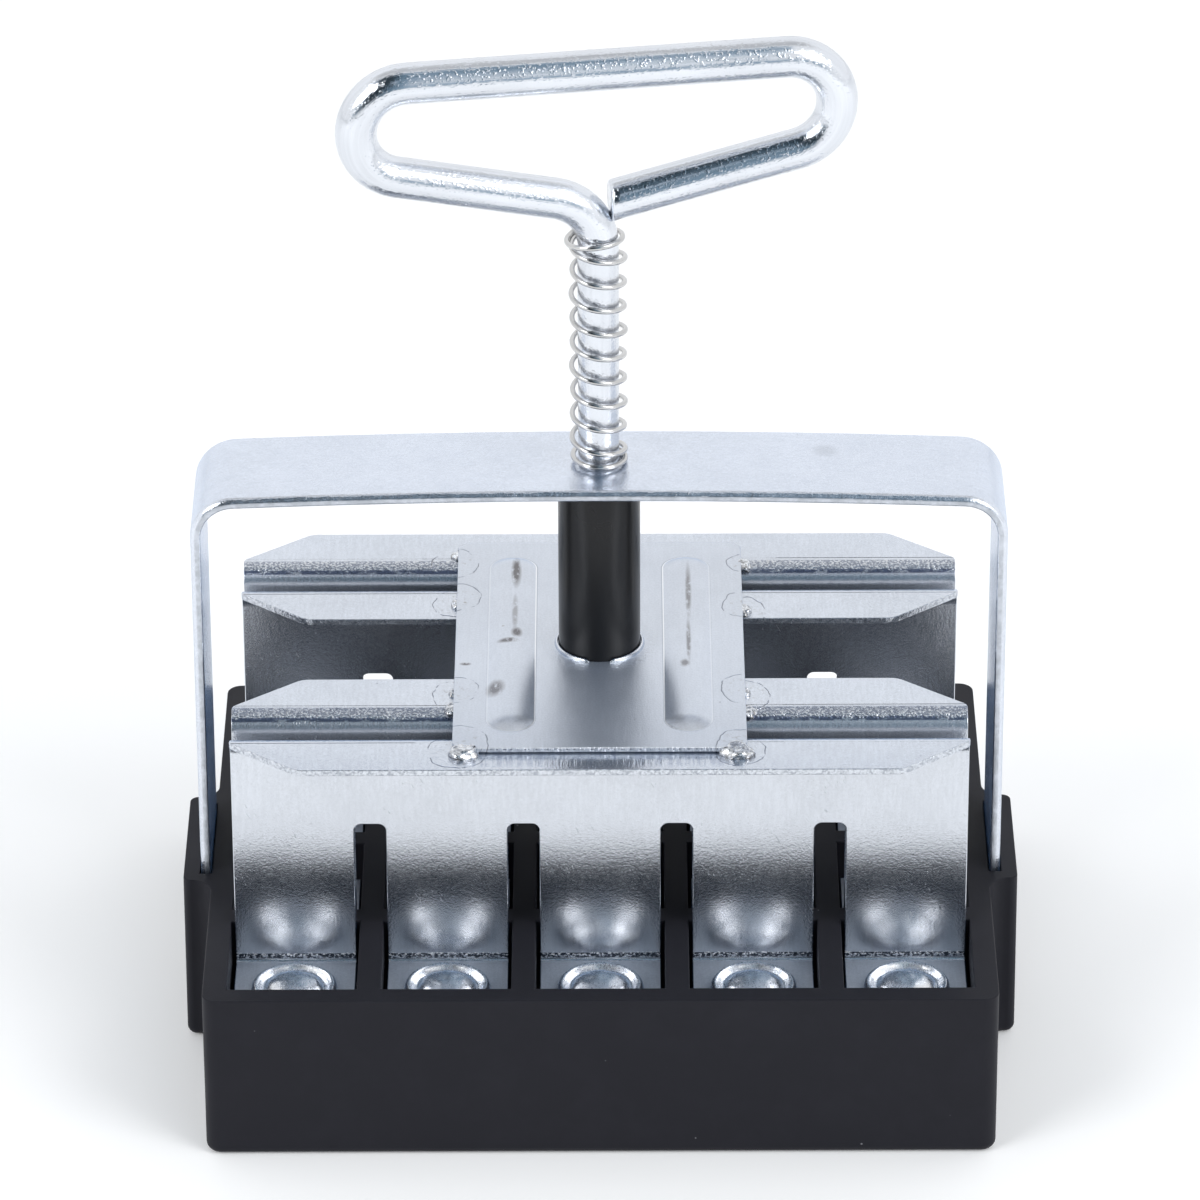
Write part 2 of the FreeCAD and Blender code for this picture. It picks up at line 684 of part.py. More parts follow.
def make_bridge_plate():
    """Plate across the two pairs of sheets, with two ribs and a collar for the sleeve."""
    body = new_body("bridge_plate")
    half_width = S.plate_width / 2
    half_length = S.plate_length / 2
    base = new_sketch(body, "plate", "XY_Plane", S.flange_top)
    rectangle(base, (-half_width, -half_length), (half_width, half_length))
    solid = pad(body, base, S.plate_thickness)
    cut_edges(
        body, solid, "plate_corners", S.plate_corner_cut,
        lambda middle, direction: along(direction, "Z") and near(abs(middle.x), half_width))

    half_rib = S.rib_width / 2
    crown = PLATE_TOP + S.rib_height
    rib_radius = (half_rib * half_rib + S.rib_height * S.rib_height) / (S.rib_height * 2)
    rib_centre = (S.rib_offset, crown - rib_radius)
    straight = S.rib_length - S.rib_width
    bar = new_sketch(body, "rib_bar", "XZ_Plane")
    outline(bar, [(S.rib_offset - half_rib, PLATE_TOP), (S.rib_offset + half_rib, PLATE_TOP)],
            {1: (rib_centre, rib_radius)})
    rib = [pad(body, bar, straight, both_sides=True)]
    for end in (-1, 1):
        half = new_sketch(body, "rib_end_front" if end < 0 else "rib_end_rear",
                          "XZ_Plane", straight / 2 * -end)
        rib_end = [(S.rib_offset, PLATE_TOP), (S.rib_offset + half_rib, PLATE_TOP),
                   (S.rib_offset, crown)]
        outline(half, rib_end, {1: (rib_centre, rib_radius)})
        rib.append(body.newObject("PartDesign::Revolution", half.Name + "_dome"))
        rib[-1].Profile = half
        rib[-1].ReferenceAxis = (half, ["Edge3"])
        rib[-1].Angle = 360
    mirror(body, rib, base, "V_Axis")

    hollows = new_sketch(body, "rib_hollows", "XY_Plane", S.flange_top + S.rib_height)
    for side in (-1, 1):
        middle = S.rib_offset * side
        half_width = half_rib - S.rib_skin
        half_length = S.rib_length / 2 - S.rib_skin
        rectangle(hollows, (middle - half_width, -half_length), (middle + half_width, half_length))
    pocket(body, hollows, S.rib_height + S.plate_thickness)

    collar = new_sketch(body, "collar", "XY_Plane", PLATE_TOP)
    inner = S.sleeve_diameter / 2 + S.lip_gap
    circle(collar, (0, 0), inner)
    circle(collar, (0, 0), inner + S.lip_thickness)
    pad(body, collar, S.lip_height)
    gaps = new_sketch(body, "collar_gaps", "XY_Plane", PLATE_TOP + S.lip_height)
    reach = inner + S.lip_thickness * 2
    rectangle(gaps, (-S.lip_opening / 2, -reach), (S.lip_opening / 2, reach))
    pocket(body, gaps, S.lip_height)

    spigot_hole = new_sketch(body, "spigot_hole", "XY_Plane")
    circle(spigot_hole, (0, 0), S.spigot_diameter / 2 + S.spigot_gap)
    pocket(body, spigot_hole)
    return body


def make_tack_welds():
    """Beads that join the bridge plate's edges to the flanges below it."""
    half_width = S.plate_width / 2
    half_length = S.plate_length / 2
    spots = []
    for side in (-1, 1):
        spots += [
            (S.front_weld_offset * side, -half_length),
            (half_width * side, S.inner_weld_offset - PAIR_MIDDLE),
            (half_width * side, PAIR_MIDDLE - S.inner_weld_offset),
            (half_width * side, PAIR_MIDDLE + S.outer_weld_offset),
        ]
    beads = []
    for number, (x, y) in enumerate(spots, start=1):
        mound = document.addObject("Part::Cone", "weld_mound_%d" % number)
        mound.setExpression("Radius1", S.weld_radius.formula)
        mound.setExpression("Radius2", S.weld_crown_radius.formula)
        mound.setExpression("Height", S.plate_thickness.formula)
        place(mound, x, y, S.flange_top)
        plate = document.addObject("Part::Box", "weld_cutter_%d" % number)
        plate.setExpression("Length", S.plate_width.formula)
        plate.setExpression("Width", S.plate_length.formula)
        plate.setExpression("Height", S.plate_thickness.formula)
        place(plate, -half_width, -half_length, S.flange_top)
        bead = document.addObject("Part::Cut", "weld_bead_%d" % number)
        bead.Base = mound
        bead.Tool = plate
        beads.append(bead)
    welds = document.addObject("Part::Compound", "tack_welds")
    welds.Label = "tack_welds"
    welds.Links = beads
    return welds


# ---------------------------------------------------------------- the rod and what it carries

def ring(body, name, plane_height, outer, inner, height):
    """Pad a ring about the rod's axis."""
    sketch = new_sketch(body, name, "XY_Plane", plane_height)
    circle(sketch, (0, 0), outer)
    circle(sketch, (0, 0), inner)
    return pad(body, sketch, height)


def make_stop_sleeve():
    """Plastic tube between the bridge plate and the strap; it sets the rest height."""
    body = new_body("stop_sleeve")
    height = STRAP_UNDERSIDE - S.sleeve_stop_gap - PLATE_TOP
    ring(body, "tube", PLATE_TOP, S.sleeve_diameter / 2, ROD_RADIUS + S.sleeve_bore_gap, height)
    return body


def make_rod_washer():
    """Washer under the bridge plate."""
    body = new_body("rod_washer")
    ring(body, "washer", NUT_TOP, S.washer_diameter / 2, S.spigot_diameter / 2 + S.spigot_gap,
         S.washer_thickness)
    return body


def make_rod_nut():
    """Hexagon nut on the rod's threaded spigot."""
    blank = document.addObject("Part::Prism", "nut_blank")
    blank.Polygon = HEXAGON
    half_angle = as_size(180 / HEXAGON)
    blank.setExpression("Circumradius", (S.nut_across_flats / cosine(half_angle) / 2).formula)
    blank.setExpression("Height", S.nut_height.formula)
    bore = document.addObject("Part::Cylinder", "nut_bore")
    bore.setExpression("Radius", (S.spigot_diameter / 2 + S.thread_gap).formula)
    bore.setExpression("Height", S.nut_height.formula)
    nut = document.addObject("Part::Cut", "rod_nut")
    nut.Label = "rod_nut"
    nut.Base = blank
    nut.Tool = bore
    place(nut, z=NUT_TOP - S.nut_height)
    return nut


def make_handle_rod():
    """Round rod with a closed handle loop on top and a turned-down spigot below."""
    body = new_body("handle_rod")
    path = new_sketch(body, "loop_path", "XZ_Plane")
    points = [
        (0, PLATE_TOP),
        (0, NECK_Z),
        (-NECK_BEND_RUN * SLOPE_COSINE, BARS_MEET_Z + NECK_BEND_RUN * SLOPE_SINE),
        (-LOWER_BAR_X, LOWER_BAR_Z),
        (-S.loop_half_width, LOOP_END_Z),
        (-LOOP_END_X, S.grip_height),
        (LOOP_END_X, S.grip_height),
        (S.loop_half_width, LOOP_END_Z),
        (LOWER_BAR_X, LOWER_BAR_Z),
        (S.loop_end_offset, BARS_MEET_Z + S.loop_end_offset * SLOPE_SINE / SLOPE_COSINE),
    ]
    left_end = ((-LOOP_END_X, LOOP_END_Z), S.loop_end_radius)
    right_end = ((LOOP_END_X, LOOP_END_Z), S.loop_end_radius)
    arcs = {1: ((-S.neck_radius, NECK_Z), S.neck_radius),
            3: left_end, 4: left_end, 6: right_end, 7: right_end}
    outline(path, points, arcs, closed=False)

    section = new_sketch(body, "rod_section", "XY_Plane", PLATE_TOP)
    circle(section, (0, 0), ROD_RADIUS)
    document.recompute()
    pipe = body.newObject("PartDesign::AdditivePipe", "bent_rod")
    pipe.Profile = section
    pipe.Spine = (path, ["Edge%d" % number for number in range(1, len(points))])
    pipe.Mode = "Frenet"

    spigot = new_sketch(body, "spigot", "XY_Plane", PLATE_TOP)
    circle(spigot, (0, 0), S.spigot_diameter / 2)
    length = S.plate_thickness + S.washer_thickness + S.nut_height + S.spigot_tail
    pad(body, spigot, length, upside_down=True)
    place(body, turn=S.loop_turn_angle)
    return body


def hexagon(sketch, centre, radius):
    """Draw a hexagon, corners at the radius, about a held centre."""
    points = []
    for corner in range(HEXAGON):
        angle = as_size(360 / HEXAGON * corner)
        points.append((centre[0] + radius * cosine(angle), centre[1] + radius * sine(angle)))
    outline(sketch, points)


def make_return_spring():
    """Compression spring between the strap and the rod's neck, closed at both ends."""
    body = new_body("return_spring")
    closed_pitch = S.wire_diameter + S.coil_gap
    top = NECK_Z + S.spring_past_neck - S.wire_diameter / 2
    active_height = top - SPRING_BOTTOM - closed_pitch * 2
    stages = [
        ("lower_coil", SPRING_BOTTOM, closed_pitch, 1),
        ("active_coils", SPRING_BOTTOM + closed_pitch, active_height / ACTIVE_COILS, ACTIVE_COILS),
        ("upper_coil", top - closed_pitch, closed_pitch, 1),
    ]
    for name, start, pitch, turns in stages:
        section = new_sketch(body, name + "_wire", "XZ_Plane")
        hexagon(section, (SPRING_RADIUS, start), S.wire_diameter / 2)
        document.recompute()
        coil = body.newObject("PartDesign::AdditiveHelix", name)
        coil.Profile = section
        coil.ReferenceAxis = (section, ["V_Axis"])
        coil.Mode = "pitch-turns-angle"
        coil.setExpression("Pitch", pitch.formula)
        coil.Turns = turns
        coil.LeftHanded = True
        document.recompute()
    return body


# ---------------------------------------------------------------- assembly

def make_parts():
    """Build every sub-part in its place."""
    parts = [
        make_mould_box(),
        make_strap_frame(),
        make_strap_screws(),
        make_bridge_plate(),
        make_tack_welds(),
        make_stop_sleeve(),
        make_rod_washer(),
        make_rod_nut(),
        make_handle_rod(),
        make_return_spring(),
    ]
    for row, middle in (("front", -PAIR_MIDDLE), ("rear", PAIR_MIDDLE)):
        for side, turn in (("near", 0), ("far", 180)):
            parts.append(make_pusher_plate("pusher_plate_%s_%s" % (row, side), middle, turn))
            parts.append(make_dimple_studs("dimple_studs_%s_%s" % (row, side), middle, turn))
    return parts


def check_document():
    """Stop if a feature failed to build."""
    for item in document.Objects:
        if "Invalid" in item.State or "Error" in item.State:
            raise RuntimeError("%s did not build: %s" % (item.Name, item.State))


def write_parts(parts):
    """Check each sub-part's shape and write it to its own file."""
    os.makedirs("parts", exist_ok=True)
    for part in parts:
        if part.Shape.isNull() or not part.Shape.isValid():
            raise RuntimeError("%s has no valid shape" % part.Label)
        print("%-26s %2d solid(s) %9.1f mm3" % (part.Label, len(part.Shape.Solids), part.Shape.Volume))
        part.Shape.exportStep("parts/%s.step" % part.Label)


made = make_parts()
document.recompute()
check_document()
write_parts(made)
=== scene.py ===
import math

import bmesh
import bpy
from mathutils import Matrix, Vector, noise


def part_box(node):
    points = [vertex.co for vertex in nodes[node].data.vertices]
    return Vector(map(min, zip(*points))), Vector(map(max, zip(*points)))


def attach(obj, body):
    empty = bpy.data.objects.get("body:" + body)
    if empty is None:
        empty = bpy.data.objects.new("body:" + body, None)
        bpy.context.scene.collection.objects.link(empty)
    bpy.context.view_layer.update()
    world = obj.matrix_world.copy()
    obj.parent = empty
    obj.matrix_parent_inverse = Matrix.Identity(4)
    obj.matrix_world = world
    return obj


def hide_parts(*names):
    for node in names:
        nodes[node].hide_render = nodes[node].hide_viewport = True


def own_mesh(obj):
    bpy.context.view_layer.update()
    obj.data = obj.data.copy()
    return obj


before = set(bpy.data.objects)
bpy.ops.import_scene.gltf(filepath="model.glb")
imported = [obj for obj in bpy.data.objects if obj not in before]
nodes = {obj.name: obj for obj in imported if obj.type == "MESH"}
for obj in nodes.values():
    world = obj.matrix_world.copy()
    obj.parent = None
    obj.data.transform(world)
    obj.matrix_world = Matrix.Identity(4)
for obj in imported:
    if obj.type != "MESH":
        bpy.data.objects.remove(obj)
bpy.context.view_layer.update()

MM = 0.001

# Measures of the solids, in millimetres and degrees. The pusher sheets have feet below, which
# hold the studs, and flanges on top, which carry the bridge plate. The handle's loop slopes,
# and stands turned about the rod.
COLUMNS = 5
CELL_PITCH = 22.5
FOOT_TOP = 20.5
FLANGE_TOP = 59.0
BRIDGE_TOP = 60.0
RIB_OFFSET = 13.0
RIB_HALF_WIDTH = 3.5
RIB_HALF_LENGTH = 26.4
RIB_HEIGHT = 1.0
STRAP_TOP = 90.5
STRAP_HALF_WIDTH = 10.0
STRAP_THICKNESS = 1.5
HOLE_RADIUS = 3.1
ROD_RADIUS = 3.0
THREAD_FOOT = 52.6
THREAD_RADIUS = 2.5
LOOP_SLOPE = 12.7
LOOP_TURN = 9

# Steps of the strap's rounded edges.
INNER_EDGE_STEPS = 4
OUTER_EDGE_STEPS = 10

# Points closer than this are one, in millimetres.
MERGE_DISTANCE = 0.001

# A stud's pin and its head, as (radius, height) from the foot's top.
PIN_PROFILE = ((1.7, -4.2), (2.0, -3.9), (2.0, -0.02), (6.1, -0.02), (6.3, 0.0), (6.35, 0.05))
STUD_PROFILE = (
    (6.35, 0.35), (6.25, 0.9), (6.0, 1.3), (5.7, 1.42), (5.35, 1.3), (4.95, 1.0), (4.6, 0.8),
    (4.3, 0.8), (3.9, 1.1), (3.3, 1.5), (2.5, 1.85), (1.6, 2.08), (0.8, 2.18), (0.0, 2.2),
)

# Tack welds: middle, half width, height and turn in radians.
WELD_BEADS = (
    (-19.5, -31.35, 1.8, 1.35, 0.3), (19.8, -31.35, 2.0, 1.45, -0.4),
    (-21.6, -18.7, 1.15, 1.0, 1.5), (21.75, -19.7, 1.2, 1.05, 1.6),
    (-21.5, -13.9, 0.7, 0.7, 1.4), (21.5, -13.9, 0.7, 0.7, 1.6),
    (-21.5, 12.9, 0.75, 0.95, 1.6), (21.7, 10.8, 1.1, 1.1, 1.5),
    (-21.5, 28.4, 0.9, 0.9, 1.4), (21.75, 24.9, 1.1, 1.1, 1.7),
)


# ---------------- node graphs

def colour(red, green, blue):
    return (red, green, blue, 1.0)


def shade(tint, share):
    """A colour made darker or lighter."""
    return colour(*[value * share for value in tint[:3]])


class Graph:
    """A node tree, with short calls for the nodes that the materials and the studio share."""

    def __init__(self, tree):
        self.tree = tree
        tree.nodes.clear()

    def node(self, kind, inputs=None, **settings):
        """A new node with its settings, and with what its inputs are fed, by name or number."""
        made = self.tree.nodes.new(kind)
        for key, value in settings.items():
            setattr(made, key, value)
        for key, value in (inputs or {}).items():
            self.feed(made.inputs[key], value)
        return made

    def feed(self, socket, value):
        """Link an output to a socket, or set the socket's own value."""
        if isinstance(value, bpy.types.NodeSocket):
            self.tree.links.new(value, socket)
        elif value is not None:
            socket.default_value = value

    def math(self, operation, first, second=None):
        made = self.node("ShaderNodeMath", {0: first, 1: second}, operation=operation)
        return made.outputs[0]

    def fold(self, operation, values):
        """One value from several, from the first on."""
        result = values[0]
        for value in values[1:]:
            result = self.math(operation, result, value)
        return result

    def times(self, *values):
        return self.fold("MULTIPLY", values)

    def most(self, *values):
        return self.fold("MAXIMUM", values)

    def part(self, vector, name):
        """One of a vector's three parts."""
        return self.node("ShaderNodeSeparateXYZ", {0: vector}).outputs["XYZ".index(name)]

    def span(self, value, low, high, to_low=0.0, to_high=1.0, smooth=False):
        """Map low..high to to_low..to_high, clamped."""
        made = self.node("ShaderNodeMapRange", {"Value": value, "From Min": low, "From Max": high,
                                                "To Min": to_low, "To Max": to_high},
                         interpolation_type="SMOOTHSTEP" if smooth else "LINEAR")
        return made.outputs["Result"]

    def mix(self, factor, first, second):
        """Mix two colours."""
        made = self.node("ShaderNodeMix", {0: factor, 6: first, 7: second}, data_type="RGBA")
        return made.outputs[2]


class Shader(Graph):
    """A material's graph. Its base colour, roughness and relief grow in layers."""

    def __init__(self, name, fixed):
        """Start a material; fixed has the values that are the same all over."""
        self.material = bpy.data.materials.new(name)
        self.material.use_nodes = True
        super().__init__(self.material.node_tree)
        self.surface = self.node("ShaderNodeBsdfPrincipled", fixed)
        self.node("ShaderNodeOutputMaterial", {"Surface": self.surface.outputs["BSDF"]})
        self.place = self.node("ShaderNodeTexCoord").outputs["Object"]
        self.base = self.worn = self.relief = None

    def follow_bar(self):
        """Place everything by the length and girth that bars carry, not by object coordinates."""
        self.place = self.node("ShaderNodeAttribute", attribute_name="flow").outputs["Vector"]

    def axis(self, name):
        return self.part(self.place, name)

    def away(self, name):
        """Distance from the middle along one axis."""
        return self.math("ABSOLUTE", self.axis(name))

    def facing(self, name):
        """The surface's own direction along one axis."""
        return self.part(self.node("ShaderNodeNewGeometry").outputs["Normal"], name)

    def vector(self, operation, first, second=None):
        return self.node("ShaderNodeVectorMath", {0: first, 1: second}, operation=operation)

    def distance(self, point, stretch=(1, 1, 1)):
        """Distance in metres to a point in millimetres, along axes stretched by that much."""
        apart = self.vector("SUBTRACT", self.place, [value * MM for value in point])
        scaled = self.vector("MULTIPLY", apart.outputs[0], stretch)
        return self.vector("LENGTH", scaled.outputs[0]).outputs["Value"]

    def ramp(self, value, low, high, to_low=0.0, to_high=1.0):
        """Map a length, where low and high are in millimetres, to to_low..to_high, clamped."""
        return self.span(value, low * MM, high * MM, to_low, to_high)

    def band(self, value, low, high, soft):
        """1 between two lengths in millimetres, fading to 0 outside."""
        low, high, soft = low * MM, high * MM, soft * MM
        rising = self.span(value, low - soft, low)
        return self.times(rising, self.span(value, high, high + soft, 1, 0))

    def noise(self, size, detail, roughness, stretch=(1, 1, 1), turn=(0, 0, 0)):
        """Noise with blobs of about that size in metres, drawn out along the axes under 1.

        The coordinates are turned about the axes in degrees first.
        """
        angles = [math.radians(angle) for angle in turn]
        turned = self.node("ShaderNodeMapping", {"Vector": self.place, "Rotation": angles},
                           vector_type="TEXTURE")
        mapped = self.node("ShaderNodeMapping", {"Vector": turned.outputs[0], "Scale": stretch})
        made = self.node("ShaderNodeTexNoise", {"Vector": mapped.outputs[0], "Scale": 1 / size,
                                                "Detail": detail, "Roughness": roughness})
        return made.outputs["Fac"]

    def specks(self, spacing, size, share):
        """Small round specks, in that share of the cells of a jumbled grid."""
        cells = self.node("ShaderNodeTexVoronoi", {"Vector": self.place, "Scale": 1 / spacing},
                          feature="F1")
        dot = self.span(cells.outputs["Distance"], size / spacing * 0.5, size / spacing, 1, 0)
        chance = self.node("ShaderNodeSeparateColor", {0: cells.outputs["Color"]}).outputs[0]
        return self.times(dot, self.math("LESS_THAN", chance, share))

    def scratches(self, turn):
        """Fine hair lines that run along one turned direction."""
        width, length, amount = 0.00012, 0.009, 0.7
        lines = self.noise(width * 2, 1.0, 0.4, stretch=(width / length, 1, 1), turn=turn)
        breaks = self.noise(length, 2.0, 0.6)
        return self.times(self.span(lines, amount, amount + 0.05), self.span(breaks, 0.5, 0.6))

    def paint(self, tint, *masks):
        """Lay a colour over the base, as strongly as the masks' product."""
        self.base = self.mix(self.times(*masks), self.base, tint)

    def wear(self, *masks):
        """Make the surface at least as rough as the masks' product."""
        self.worn = self.most(self.worn, self.times(*masks))

    def emboss(self, height, depth, *strength):
        """Raise the surface by a pattern of that depth in metres, on top of the relief so far."""
        made = self.node("ShaderNodeBump", {"Distance": depth, "Strength": self.times(*strength),
                                            "Height": height, "Normal": self.relief})
        self.relief = made.outputs["Normal"]

    def finished(self):
        """The material, with its layers linked."""
        layers = (("Base Color", self.base), ("Roughness", self.worn), ("Normal", self.relief))
        for socket, value in layers:
            self.feed(self.surface.inputs[socket], value)
        return self.material


# ---------------- finishes

# Painted highlight: plain white laid on as glints and highlight lines.
PAINTED_HIGHLIGHT_WHITE = colour(1.0, 1.0, 1.0)
# Grey of the sheared edges, also painted as the shade line along the ribs' edges.
CUT_EDGE_AND_SHADE_GREY = colour(0.3, 0.32, 0.36)

# Bands of the pusher sheets in millimetres: lower end, upper end and fade.
PEEL_BAND = (58.05, 58.9, 0.12)
DARK_REFLECTION_BAND = (57.8, 58.15, 0.1)
BURR_AND_SHADE_BAND = (21.0, 21.75, 0.1)
GLINT_BAND = (21.5, 21.9, 0.1)

# Rub marks on the bridge plate: middle, half width, half length and strength. Long ones are broken.
RUB_MARKS = (
    (-12.5, 20.4, 0.8, 5.2, 1.0), (-12.6, 7.5, 0.5, 6.0, 0.6), (-12.3, 1.6, 0.9, 1.6, 1.0),
    (-13.6, -0.8, 1.7, 0.8, 1.0), (-15.3, -14.6, 1.5, 2.6, 0.9), (-19.8, -6.4, 0.9, 0.5, 1.0),
    (13.3, 14.0, 0.5, 9.0, 0.8), (13.2, -1.0, 0.4, 7.0, 0.8), (12.6, -7.9, 0.8, 1.2, 0.8),
)
LONG_RUB = 5.5

# Heat rings round the welds: middle and radius.
WELD_RINGS = (
    (-21.4, -13.9, 3.4), (21.4, -13.9, 3.6), (-21.4, 13.9, 3.5), (21.6, 11.6, 3.2),
    (21.6, 24.4, 2.4), (-20.4, -30.2, 4.4), (20.4, -30.6, 3.6), (-22.2, 24.6, 3.9),
)


def zinc(name, rough=(0.16, 0.22), tint=colour(0.725, 0.75, 0.795), extra=None, haze=0.02,
         ripples=0.03, rolled=(1, 0.12, 0.12), marked=0.12):
    """Bright zinc-plated steel sheet with fine crystals, rolling marks, clouds and hair scratches.

    Haze is the share that is dull oxide, rolled draws the rolling marks out, and marked is
    their strength.
    """
    shader = Shader(name, {"Metallic": 1.0 - haze, "Sheen Weight": 0.32, "Sheen Roughness": 0.5,
                           "Sheen Tint": colour(0.25, 0.52, 1.0)})
    clouds = shader.noise(0.011, 4.0, 0.6)
    crystal = shader.noise(0.00030, 2.0, 0.65)
    ripple = shader.noise(0.0016, 3.0, 0.55)
    marks = shader.noise(0.0005, 2.0, 0.6, stretch=rolled)
    hair = shader.most(shader.scratches((0, 62, 20)), shader.scratches((0, -38, 75)))
    dust = shader.specks(0.0024, 0.00014, 0.12)
    pits = shader.specks(0.0041, 0.0002, 0.35)
    tone = shader.math("ADD", shader.times(clouds, 0.4), shader.times(crystal, 0.6))
    shader.base = shader.mix(shader.span(tone, 0.38, 0.6), shade(tint, 0.88), tint)
    shader.paint(shade(tint, 0.6), shader.span(marks, 0.42, 0.6, 1, 0), marked)
    shader.paint(shade(tint, 0.6), hair, 0.22)
    shader.paint(shade(tint, 0.3), pits, 0.5)
    shader.worn = shader.span(tone, 0.36, 0.62, *rough)
    shader.wear(hair, 0.34)
    shader.wear(dust, 0.45)
    shader.emboss(crystal, 0.00003, 0.8)
    shader.emboss(marks, 0.00003, 0.4)
    shader.emboss(ripple, 0.00005, ripples)
    shader.emboss(hair, 0.00002, 0.3)
    shader.emboss(dust, 0.00003, 0.6)
    if extra:
        extra(shader)
    return shader.finished()


def weld_rings(shader):
    """Thin broken arcs that the heat left round the welds, and the puckered zinc inside them."""
    waver = shader.math("SUBTRACT", shader.noise(0.004, 2.0, 0.5), 0.5)
    lines, insides = [], []
    for x, y, radius in WELD_RINGS:
        apart = shader.distance((x, y, BRIDGE_TOP), (1, 0.85, 0))
        reach = shader.math("ADD", apart, shader.times(waver, 0.002))
        lines.append(shader.band(reach, radius - 0.03, radius + 0.03, 0.07))
        insides.append(shader.ramp(reach, radius * 0.5, radius * 1.1, 1, 0))
    inside = shader.most(*insides)
    upper = shader.ramp(shader.axis("Z"), 58.3, 58.7)
    breaks = shader.span(shader.noise(0.0022, 2.0, 0.6), 0.42, 0.52)
    line = shader.times(shader.most(*lines), breaks, upper)
    shader.paint(colour(0.2, 0.2, 0.22), line, 0.8)
    shader.emboss(line, 0.00008, 0.9)
    shader.emboss(shader.noise(0.0012, 3.0, 0.6), 0.00035, inside, upper, 0.2)
    dirt = shader.span(shader.noise(0.0009, 3.0, 0.7), 0.58, 0.68)
    shader.paint(colour(0.36, 0.33, 0.29), inside, upper, dirt, 0.5)


def plate_marks(shader):
    """Flange bends with orange peel, painted glints and a painted dark reflection; feet with burrs,
    painted shade in the crease and painted glints; painted reflection streaks on the flange.
    """
    height = shader.axis("Z")
    upward = shader.facing("Z")
    shader.feed(shader.surface.inputs["Metallic"], shader.ramp(height, 36, 46, 0.98, 0.88))

    outside = shader.times(shader.span(upward, 0.992, 0.97), shader.span(upward, 0.2, 0.4))
    stretched = shader.times(shader.band(height, *PEEL_BAND), outside)
    peel_and_glints = shader.noise(0.00028, 1.0, 0.5, stretch=(0.75, 1, 1))
    shader.emboss(peel_and_glints, 0.00018, stretched, 0.65)
    # Painted reflection and glints: navy specks and white specks follow the peel on the bends'
    # outside.
    shader.paint(colour(0.13, 0.16, 0.24), stretched, shader.span(peel_and_glints, 0.56, 0.44), 0.5)
    shader.paint(PAINTED_HIGHLIGHT_WHITE, stretched, shader.span(peel_and_glints, 0.55, 0.64), 0.45)
    # Painted dark reflection: a navy streak along the lower edge of the bends' outside.
    edge = shader.times(shader.band(height, *DARK_REFLECTION_BAND), outside)
    streak = shader.noise(0.0007, 2.0, 0.7, stretch=(0.35, 1, 1))
    shader.paint(colour(0.09, 0.12, 0.21), edge, shader.span(streak, 0.62, 0.5), 0.85)

    cut = shader.times(shader.ramp(height, 57.95, 58.05), shader.span(upward, 0.4, 0.2))
    nicks = shader.noise(0.0006, 2.0, 0.8)
    shader.emboss(nicks, 0.0002, cut, 0.5)
    shader.paint(CUT_EDGE_AND_SHADE_GREY, cut, shader.span(nicks, 0.56, 0.4), 0.7)

    tread = shader.times(shader.ramp(height, 21.2, 20.9), shader.span(upward, 0.9, 0.97))
    shader.wear(tread, 0.55)
    foot = shader.band(height, *BURR_AND_SHADE_BAND)
    crease_pattern = shader.noise(0.0004, 2.0, 0.8, stretch=(0.7, 1, 1))
    shader.emboss(crease_pattern, 0.00025, foot, 0.8)
    # Painted shade: near-black dashes along the foot's crease; the bump above is the burr.
    shader.paint(colour(0.05, 0.055, 0.065), foot, shader.span(crease_pattern, 0.56, 0.48))
    # Painted glints: white specks just above the crease, which are also rougher.
    painted_glints = shader.times(shader.band(height, *GLINT_BAND), shader.span(crease_pattern, 0.54, 0.6))
    shader.paint(PAINTED_HIGHLIGHT_WHITE, painted_glints)
    shader.wear(painted_glints, 0.6)

    reflection_streaks = shader.noise(0.0007, 2.0, 0.7, stretch=(1, 0.1, 1))
    below_rim = shader.times(shader.band(shader.axis("Y"), -34.2, -31.2, 1.2),
                             shader.band(shader.axis("X"), -18.5, 18.5, 1.5),
                             shader.ramp(height, 58.8, 58.95))
    # Bumped streaks on the flange just in front of the bridge plate, with a painted reflection in
    # bluish grey along them.
    shader.emboss(reflection_streaks, 0.0002, below_rim, 0.35)
    shader.paint(colour(0.34, 0.37, 0.45), below_rim, shader.span(reflection_streaks, 0.55, 0.42), 0.45)
    weld_rings(shader)


